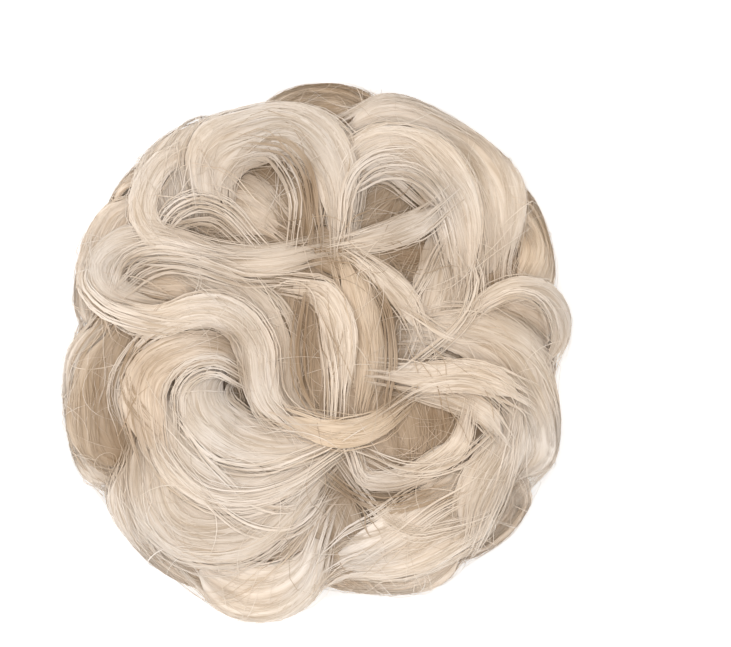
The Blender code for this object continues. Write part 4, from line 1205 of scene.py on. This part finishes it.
def streaks(tree, scale, detail, place):
    """A noise on the UV map that is long along the strands and fine across them."""
    where = node(tree, "ShaderNodeUVMap", (place[0] - 420, place[1]), uv_map=UV_NAME)
    stretch = node(tree, "ShaderNodeMapping", (place[0] - 220, place[1]))
    stretch.inputs["Scale"].default_value = (*scale, 1.0)
    noise = node(tree, "ShaderNodeTexNoise", place)
    noise.inputs["Scale"].default_value = 1.0
    noise.inputs["Detail"].default_value = detail
    noise.inputs["Roughness"].default_value = 0.55
    tree.links.new(where.outputs["UV"], stretch.inputs["Vector"])
    tree.links.new(stretch.outputs["Vector"], noise.inputs["Vector"])
    return noise.outputs["Fac"]


def shade(colour, light, warmth=0.0):
    """A colour made lighter or darker, and warmer or cooler."""
    red, green, blue = colour
    return (min(1, red * light * (1 + warmth)), min(1, green * light),
            min(1, blue * light * (1 - warmth)), 1.0)


def ramp(tree, factor, stops, place):
    """A colour ramp with its stops as position and colour."""
    made = node(tree, "ShaderNodeValToRGB", place)
    bar = made.color_ramp
    for position, colour in stops[1:-1]:
        bar.elements.new(position)
    for element, (position, colour) in zip(bar.elements, stops):
        element.position = position
        element.color = colour
    tree.links.new(factor, made.inputs["Fac"])
    return made.outputs["Color"]


def mixed(tree, factor, a, b, place, blend="MIX"):
    made = node(tree, "ShaderNodeMix", place, data_type="RGBA", blend_type=blend)
    sockets = [s for s in made.inputs if s.type == "RGBA"]
    for value, socket in zip((a, b), sockets):
        if isinstance(value, tuple):
            socket.default_value = value
        else:
            tree.links.new(value, socket)
    if isinstance(factor, float):
        made.inputs["Factor"].default_value = factor
    else:
        tree.links.new(factor, made.inputs["Factor"])
    return next(s for s in made.outputs if s.type == "RGBA")


def new_material(name):
    material = bpy.data.materials.new(name)
    material.use_nodes = True
    return material, material.node_tree, material.node_tree.nodes["Principled BSDF"]


def raised(tree, shader, height, strength):
    """Bump of a fifth of a millimetre from a pattern's height."""
    bump = node(tree, "ShaderNodeBump", (-340, -120))
    bump.inputs["Strength"].default_value = strength
    bump.inputs["Distance"].default_value = 0.0002
    tree.links.new(height, bump.inputs["Height"])
    tree.links.new(bump.outputs["Normal"], shader.inputs["Normal"])


def object_noise(tree, scale, place):
    """A noise on Object coordinates."""
    where = node(tree, "ShaderNodeTexCoord", (place[0] - 200, place[1]))
    noise = node(tree, "ShaderNodeTexNoise", place)
    noise.inputs["Scale"].default_value = scale
    tree.links.new(where.outputs["Object"], noise.inputs["Vector"])
    return noise


ROUGHNESS = {"pale": 0.40, "ash": 0.44, "beige": 0.44, "warm": 0.42, "brown": 0.55}


def hair_material(tone):
    """Streaky hair: fine streaks from strand to strand, broader ones from clump to clump, a slow
    drift between warm and cool over the whole bun, and painted shade, the colour darkened towards
    brown where the hair lies in shade."""
    name = "hair_" + tone
    if name in bpy.data.materials:
        return bpy.data.materials[name]
    colour = tuple(getattr(colours(), tone))
    material, tree, shader = new_material(name)
    fine = streaks(tree, (1.6, 120.0), 3.0, (-900, 300))
    broad = streaks(tree, (3.0, 26.0), 2.0, (-900, 0))
    strand = ramp(tree, fine, (
        (0.30, shade(colour, 0.90, 0.02)), (0.44, shade(colour, 0.98, 0.01)),
        (0.56, shade(colour, 1.02)), (0.70, shade(colour, 1.07, -0.01))), (-620, 300))
    clump = ramp(tree, broad, (
        (0.36, (0.76, 0.70, 0.62, 1.0)), (0.47, (0.92, 0.895, 0.86, 1.0)),
        (0.60, (1.0, 1.0, 1.0, 1.0))), (-620, 0))
    joined = mixed(tree, 1.0, strand, clump, (-340, 200), "MULTIPLY")
    drift = object_noise(tree, 28.0, (-900, -300))
    drift.inputs["Detail"].default_value = 1.0
    mood = ramp(tree, drift.outputs["Fac"], (
        (0.35, (1.0, 0.965, 0.91, 1.0)), (0.65, (0.975, 0.985, 1.0, 1.0))), (-620, -300))
    tinted = mixed(tree, 1.0, joined, mood, (-120, 100), "MULTIPLY")
    # Painted shade: the colour is darkened towards brown by each point's attribute of painted
    # shade.
    depth = node(tree, "ShaderNodeAttribute", (-900, -560), attribute_name="shaded")
    deep = ramp(tree, depth.outputs["Fac"], (
        (0.0, (1.0, 1.0, 1.0, 1.0)), (1.0, (0.66, 0.575, 0.475, 1.0))), (-620, -560))
    final = mixed(tree, 1.0, tinted, deep, (60, 100), "MULTIPLY")
    tree.links.new(final, shader.inputs["Base Color"])
    shader.inputs["Roughness"].default_value = ROUGHNESS[tone]
    shader.inputs["Diffuse Roughness"].default_value = 0.6
    shader.inputs["Specular IOR Level"].default_value = 0.28
    shader.inputs["Sheen Weight"].default_value = 0.22
    shader.inputs["Sheen Roughness"].default_value = 0.45
    shader.inputs["Sheen Tint"].default_value = shade(colour, 1.1)
    raised(tree, shader, fine, 0.35)
    return material


def elastic_material():
    """Covered elastic: fine slanting threads over the ribs."""
    material, tree, shader = new_material("covered_elastic")
    threads = streaks(tree, (420.0, 14.0), 3.0, (-900, 200))
    colour = tuple(colours().elastic)
    tone = ramp(tree, threads, ((0.3, shade(colour, 0.62)), (0.5, shade(colour, 1.0)),
                                (0.72, shade(colour, 1.4))), (-620, 200))
    tree.links.new(tone, shader.inputs["Base Color"])
    shader.inputs["Roughness"].default_value = 0.8
    shader.inputs["Sheen Weight"].default_value = 0.3
    raised(tree, shader, threads, 0.6)
    return material


def floor_material():
    """A pale floor with a faint mottle, and a little light of its own as from a light table."""
    material, tree, shader = new_material("pale_floor")
    mottle = object_noise(tree, 6.0, (-700, 0))
    colour = tuple(stage_settings().floor)
    tone = ramp(tree, mottle.outputs["Fac"],
                ((0.3, shade(colour, 0.99)), (0.7, shade(colour, 1.0))), (-420, 0))
    tree.links.new(tone, shader.inputs["Base Color"])
    shader.inputs["Roughness"].default_value = 0.9
    shader.inputs["Emission Color"].default_value = (1, 1, 1, 1)
    shader.inputs["Emission Strength"].default_value = 0.35
    return material


# Operators.

def dress_group(names, seed, density, most):
    """Dress the named locks, each with its own seed, at a share of the full density of strands."""
    locks = [lock for lock in lay_the_bun()["locks"] if lock.name in names]
    if len(locks) != len(names):
        raise RuntimeError("a lock of this group is missing")
    for lock in locks:
        dress_lock(lock, np.random.default_rng(seed + sum(map(ord, lock.name))), density, most)


LOWER_NAMES = tuple(row[0] for row in LOWER_TIER)
RIM_NAMES = tuple(row[0] for row in LOCKS[:10])
UNDER_NAMES = tuple(row[0] for row in LOCKS[10:21])
TOP_NAMES = tuple(row[0] for row in LOCKS[21:])


class TOPKNOT_OT_under_hair(bpy.types.Operator):
    """Make the base of under-hair, with its hollow and a loose layer of strands, both in the brown
    tone that paints the shade under the locks
    """
    bl_idname = "topknot.under_hair"
    bl_label = "Under-hair"

    def execute(self, context):
        bun = lay_the_bun()
        rng = np.random.default_rng(11)
        base = closed_tube(base_surface(), WHOLE_MAP)
        piece = add_hair("under_hair", [base], "brown")
        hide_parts("hair_base")
        start = disc_points(UNDER_STRANDS, bun["dome"].rim * 1.02, rng)
        bearing = np.arctan2(start[:, 1], start[:, 0]) + rng.normal(1.2, 0.7, UNDER_STRANDS)
        bend = rng.normal(0.9, 0.7, UNDER_STRANDS)
        length = rng.uniform(0.018, 0.042, UNDER_STRANDS)
        lift = (0.0002 + 0.0012 * rng.random(UNDER_STRANDS) ** 2)[:, None]
        flat = np.zeros_like(bun["field"].top)
        paths = laid_strands(bun["dome"], flat, start, bearing, bend, length, lift,
                             sizes().strand_radius * 1.2, rng, 12)
        add_hair("under_hair_strands", [strand_tubes(*paths, WHOLE_MAP)], "brown")
        return {"FINISHED"}


class TOPKNOT_OT_elastic(bpy.types.Operator):
    """Make the covered elastic ring in the hollow's mouth"""
    bl_idname = "topknot.elastic"
    bl_label = "Elastic ring"

    def execute(self, context):
        piece = add_piece("covered_elastic", ring_mesh("covered_elastic", elastic_surface()),
                          elastic_material())
        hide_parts("elastic_band")
        return {"FINISHED"}


class TOPKNOT_OT_lower_tier(bpy.types.Operator):
    """Dress the locks round the side, below the rim"""
    bl_idname = "topknot.lower_tier"
    bl_label = "Lower tier"

    def execute(self, context):
        dress_group(LOWER_NAMES, 100, 0.45, 150)
        return {"FINISHED"}


class TOPKNOT_OT_rim_locks(bpy.types.Operator):
    """Dress the big curls that make the scalloped outline"""
    bl_idname = "topknot.rim_locks"
    bl_label = "Rim locks"

    def execute(self, context):
        dress_group(RIM_NAMES, 200, 1.0, 260)
        return {"FINISHED"}


class TOPKNOT_OT_under_locks(bpy.types.Operator):
    """Dress the locks that show between the top ones, most in the brown tone that paints the shade
    between them
    """
    bl_idname = "topknot.under_locks"
    bl_label = "Under locks"

    def execute(self, context):
        dress_group(UNDER_NAMES, 300, 0.6, 140)
        return {"FINISHED"}


class TOPKNOT_OT_top_locks(bpy.types.Operator):
    """Dress the loops, arches, swirl and fans of the crown"""
    bl_idname = "topknot.top_locks"
    bl_label = "Top locks"

    def execute(self, context):
        dress_group(TOP_NAMES, 400, 1.0, 260)
        return {"FINISHED"}


class TOPKNOT_OT_wisps(bpy.types.Operator):
    """Add the narrow wisps, the tangles between the locks and the loose single hairs"""
    bl_idname = "topknot.wisps"
    bl_label = "Wisps and flyaways"

    def execute(self, context):
        bun = lay_the_bun()
        dome, field = bun["dome"], bun["field"]
        for piece in dict.fromkeys(row[0] for row in WISPS):
            rows = [row for row in WISPS if row[0] == piece]
            tone, parts = rows[0][1], []
            for index, (_, _, half_width, count, stations) in enumerate(rows):
                rng = np.random.default_rng(500 + index)
                plan = smooth_route(np.array(stations, float) * HUNDREDTH, SECTION_SPACING)
                widths = (half_width, half_width * 1.2, half_width)
                wisp = Lock(dome, piece, tone, widths, 1, plan, True)
                wisp.lie_at(smoothed(field.felt(*wisp.route.T), 2))
                wisp.over = np.repeat(field.felt(*wisp.route.T)[:, None], 5, 1)
                make_clumps(wisp, rng)
                make_skin(wisp, field)
                low = 0.01 + 0.98 * index / len(rows)
                parts.append(strand_tubes(*lock_strands(wisp, count, rng),
                                          (0.01, low, 0.99, low + 0.95 / len(rows))))
            add_hair(piece, parts, tone)
        rng = np.random.default_rng(600)
        groups = (
            # name, tone, heights, count, length, bend, lift
            ("tangles_between", "beige", bun["middle_top"], 420, (0.012, 0.030), 1.8, 0.0006),
            ("flyaways_pale", "pale", field.top, sizes().flyaways, (0.016, 0.040), 1.6, 0.0004),
        )
        for name, tone, top, count, length, bend, lift in groups:
            start = disc_points(count, dome.rim * 1.1, rng)
            bearing = rng.uniform(0, 2 * math.pi, count)
            heights = (0.0002 + lift * rng.random(count) ** 2)[:, None]
            paths = laid_strands(dome, top, start, bearing, rng.normal(0, bend, count),
                                 rng.uniform(*length, count), heights,
                                 sizes().strand_radius * 0.6, rng, 14)
            add_hair(name, [strand_tubes(*paths, WHOLE_MAP)], tone)
        return {"FINISHED"}


LOW_SKY = 1.7              # the light near the horizon, as a share of the even light


class TOPKNOT_OT_stage(bpy.types.Operator):
    """Make the pale floor, the soft studio light and the camera that looks straight down"""
    bl_idname = "topknot.stage"
    bl_label = "Stage"

    def execute(self, context):
        settings = stage_settings()
        scene = bpy.context.scene
        mesh = bpy.data.meshes.new("floor")
        half = 3.0
        mesh.from_pydata([(-half, -half, 0), (half, -half, 0), (half, half, 0), (-half, half, 0)],
                         [], [(0, 1, 2, 3)])
        mesh.materials.append(floor_material())
        floor = bpy.data.objects.new("floor", mesh)
        scene.collection.objects.link(floor)
        world = bpy.data.worlds.new("studio")
        world.use_nodes = True
        background = world.node_tree.nodes["Background"]
        sky = world.node_tree
        way = node(sky, "ShaderNodeTexCoord", (-900, 0))
        parts = node(sky, "ShaderNodeSeparateXYZ", (-700, 0))
        sky.links.new(way.outputs["Generated"], parts.inputs["Vector"])
        tone = ramp(sky, parts.outputs["Z"],
                    ((0.0, (1.0, 1.0, 1.0, 1.0)), (0.7, (0.35, 0.35, 0.35, 1.0))), (-500, 0))
        sky.links.new(tone, background.inputs["Color"])
        background.inputs["Strength"].default_value = settings.world_light * LOW_SKY
        scene.world = world
        for name, place, size, share in (
                ("key", (-0.30, -0.10, 1.00), 0.45, 0.5),
                ("over", (0.03, 0.05, 1.20), 0.30, 1.0)):
            lamp = bpy.data.lights.new(name, "AREA")
            lamp.size = size
            lamp.energy = settings.key_light * share
            light = bpy.data.objects.new(name, lamp)
            light.location = place
            aim = -light.location
            light.rotation_euler = aim.to_track_quat("-Z", "Y").to_euler()
            scene.collection.objects.link(light)
        lens = bpy.data.cameras.new("camera")
        camera = bpy.data.objects.new("camera", lens)
        width = FRAME_SIZE[0] * METRES_A_PIXEL
        lens.sensor_width = 36.0
        lens.lens = 36.0 * (settings.camera_height - SHARP_HEIGHT) / width
        lens.clip_start, lens.clip_end = 0.05, 20.0
        across = (FRAME_SIZE[0] / 2 - BUN_AT[0]) * METRES_A_PIXEL
        along = (BUN_AT[1] - FRAME_SIZE[1] / 2) * METRES_A_PIXEL
        camera.location = (MIDDLE[0] + across, MIDDLE[1] + along, settings.camera_height)
        scene.collection.objects.link(camera)
        scene.camera = camera
        scene.view_settings.view_transform = "Standard"
        scene.view_settings.look = "None"
        return {"FINISHED"}


class TOPKNOT_PT_panel(bpy.types.Panel):
    """The hairpiece's steps and settings"""
    bl_label = "Top Knot Hairpiece"
    bl_idname = "TOPKNOT_PT_panel"
    bl_space_type = "VIEW_3D"
    bl_region_type = "UI"
    bl_category = "Top Knot"

    def draw(self, context):
        layout = self.layout
        for operator in OPERATORS:
            layout.operator(operator.bl_idname)
        for group in (context.scene.top_knot_sizes, context.scene.top_knot_colours,
                      context.scene.top_knot_stage):
            box = layout.box()
            for name in group.__annotations__:
                box.prop(group, name)


OPERATORS = (TOPKNOT_OT_under_hair, TOPKNOT_OT_elastic, TOPKNOT_OT_lower_tier, TOPKNOT_OT_rim_locks,
             TOPKNOT_OT_under_locks, TOPKNOT_OT_top_locks, TOPKNOT_OT_wisps, TOPKNOT_OT_stage)
GROUPS = (TopKnotSizes, TopKnotColours, TopKnotStage)


def register():
    for kind in (*GROUPS, *OPERATORS, TOPKNOT_PT_panel):
        bpy.utils.register_class(kind)
    bpy.types.Scene.top_knot_sizes = PointerProperty(type=TopKnotSizes)
    bpy.types.Scene.top_knot_colours = PointerProperty(type=TopKnotColours)
    bpy.types.Scene.top_knot_stage = PointerProperty(type=TopKnotStage)


def unregister():
    del bpy.types.Scene.top_knot_stage
    del bpy.types.Scene.top_knot_colours
    del bpy.types.Scene.top_knot_sizes
    for kind in (TOPKNOT_PT_panel, *reversed(OPERATORS), *reversed(GROUPS)):
        bpy.utils.unregister_class(kind)


def main():
    register()
    for operator in OPERATORS:
        group, name = operator.bl_idname.split(".")
        getattr(getattr(bpy.ops, group), name)()


if __name__ == "__main__":
    main()
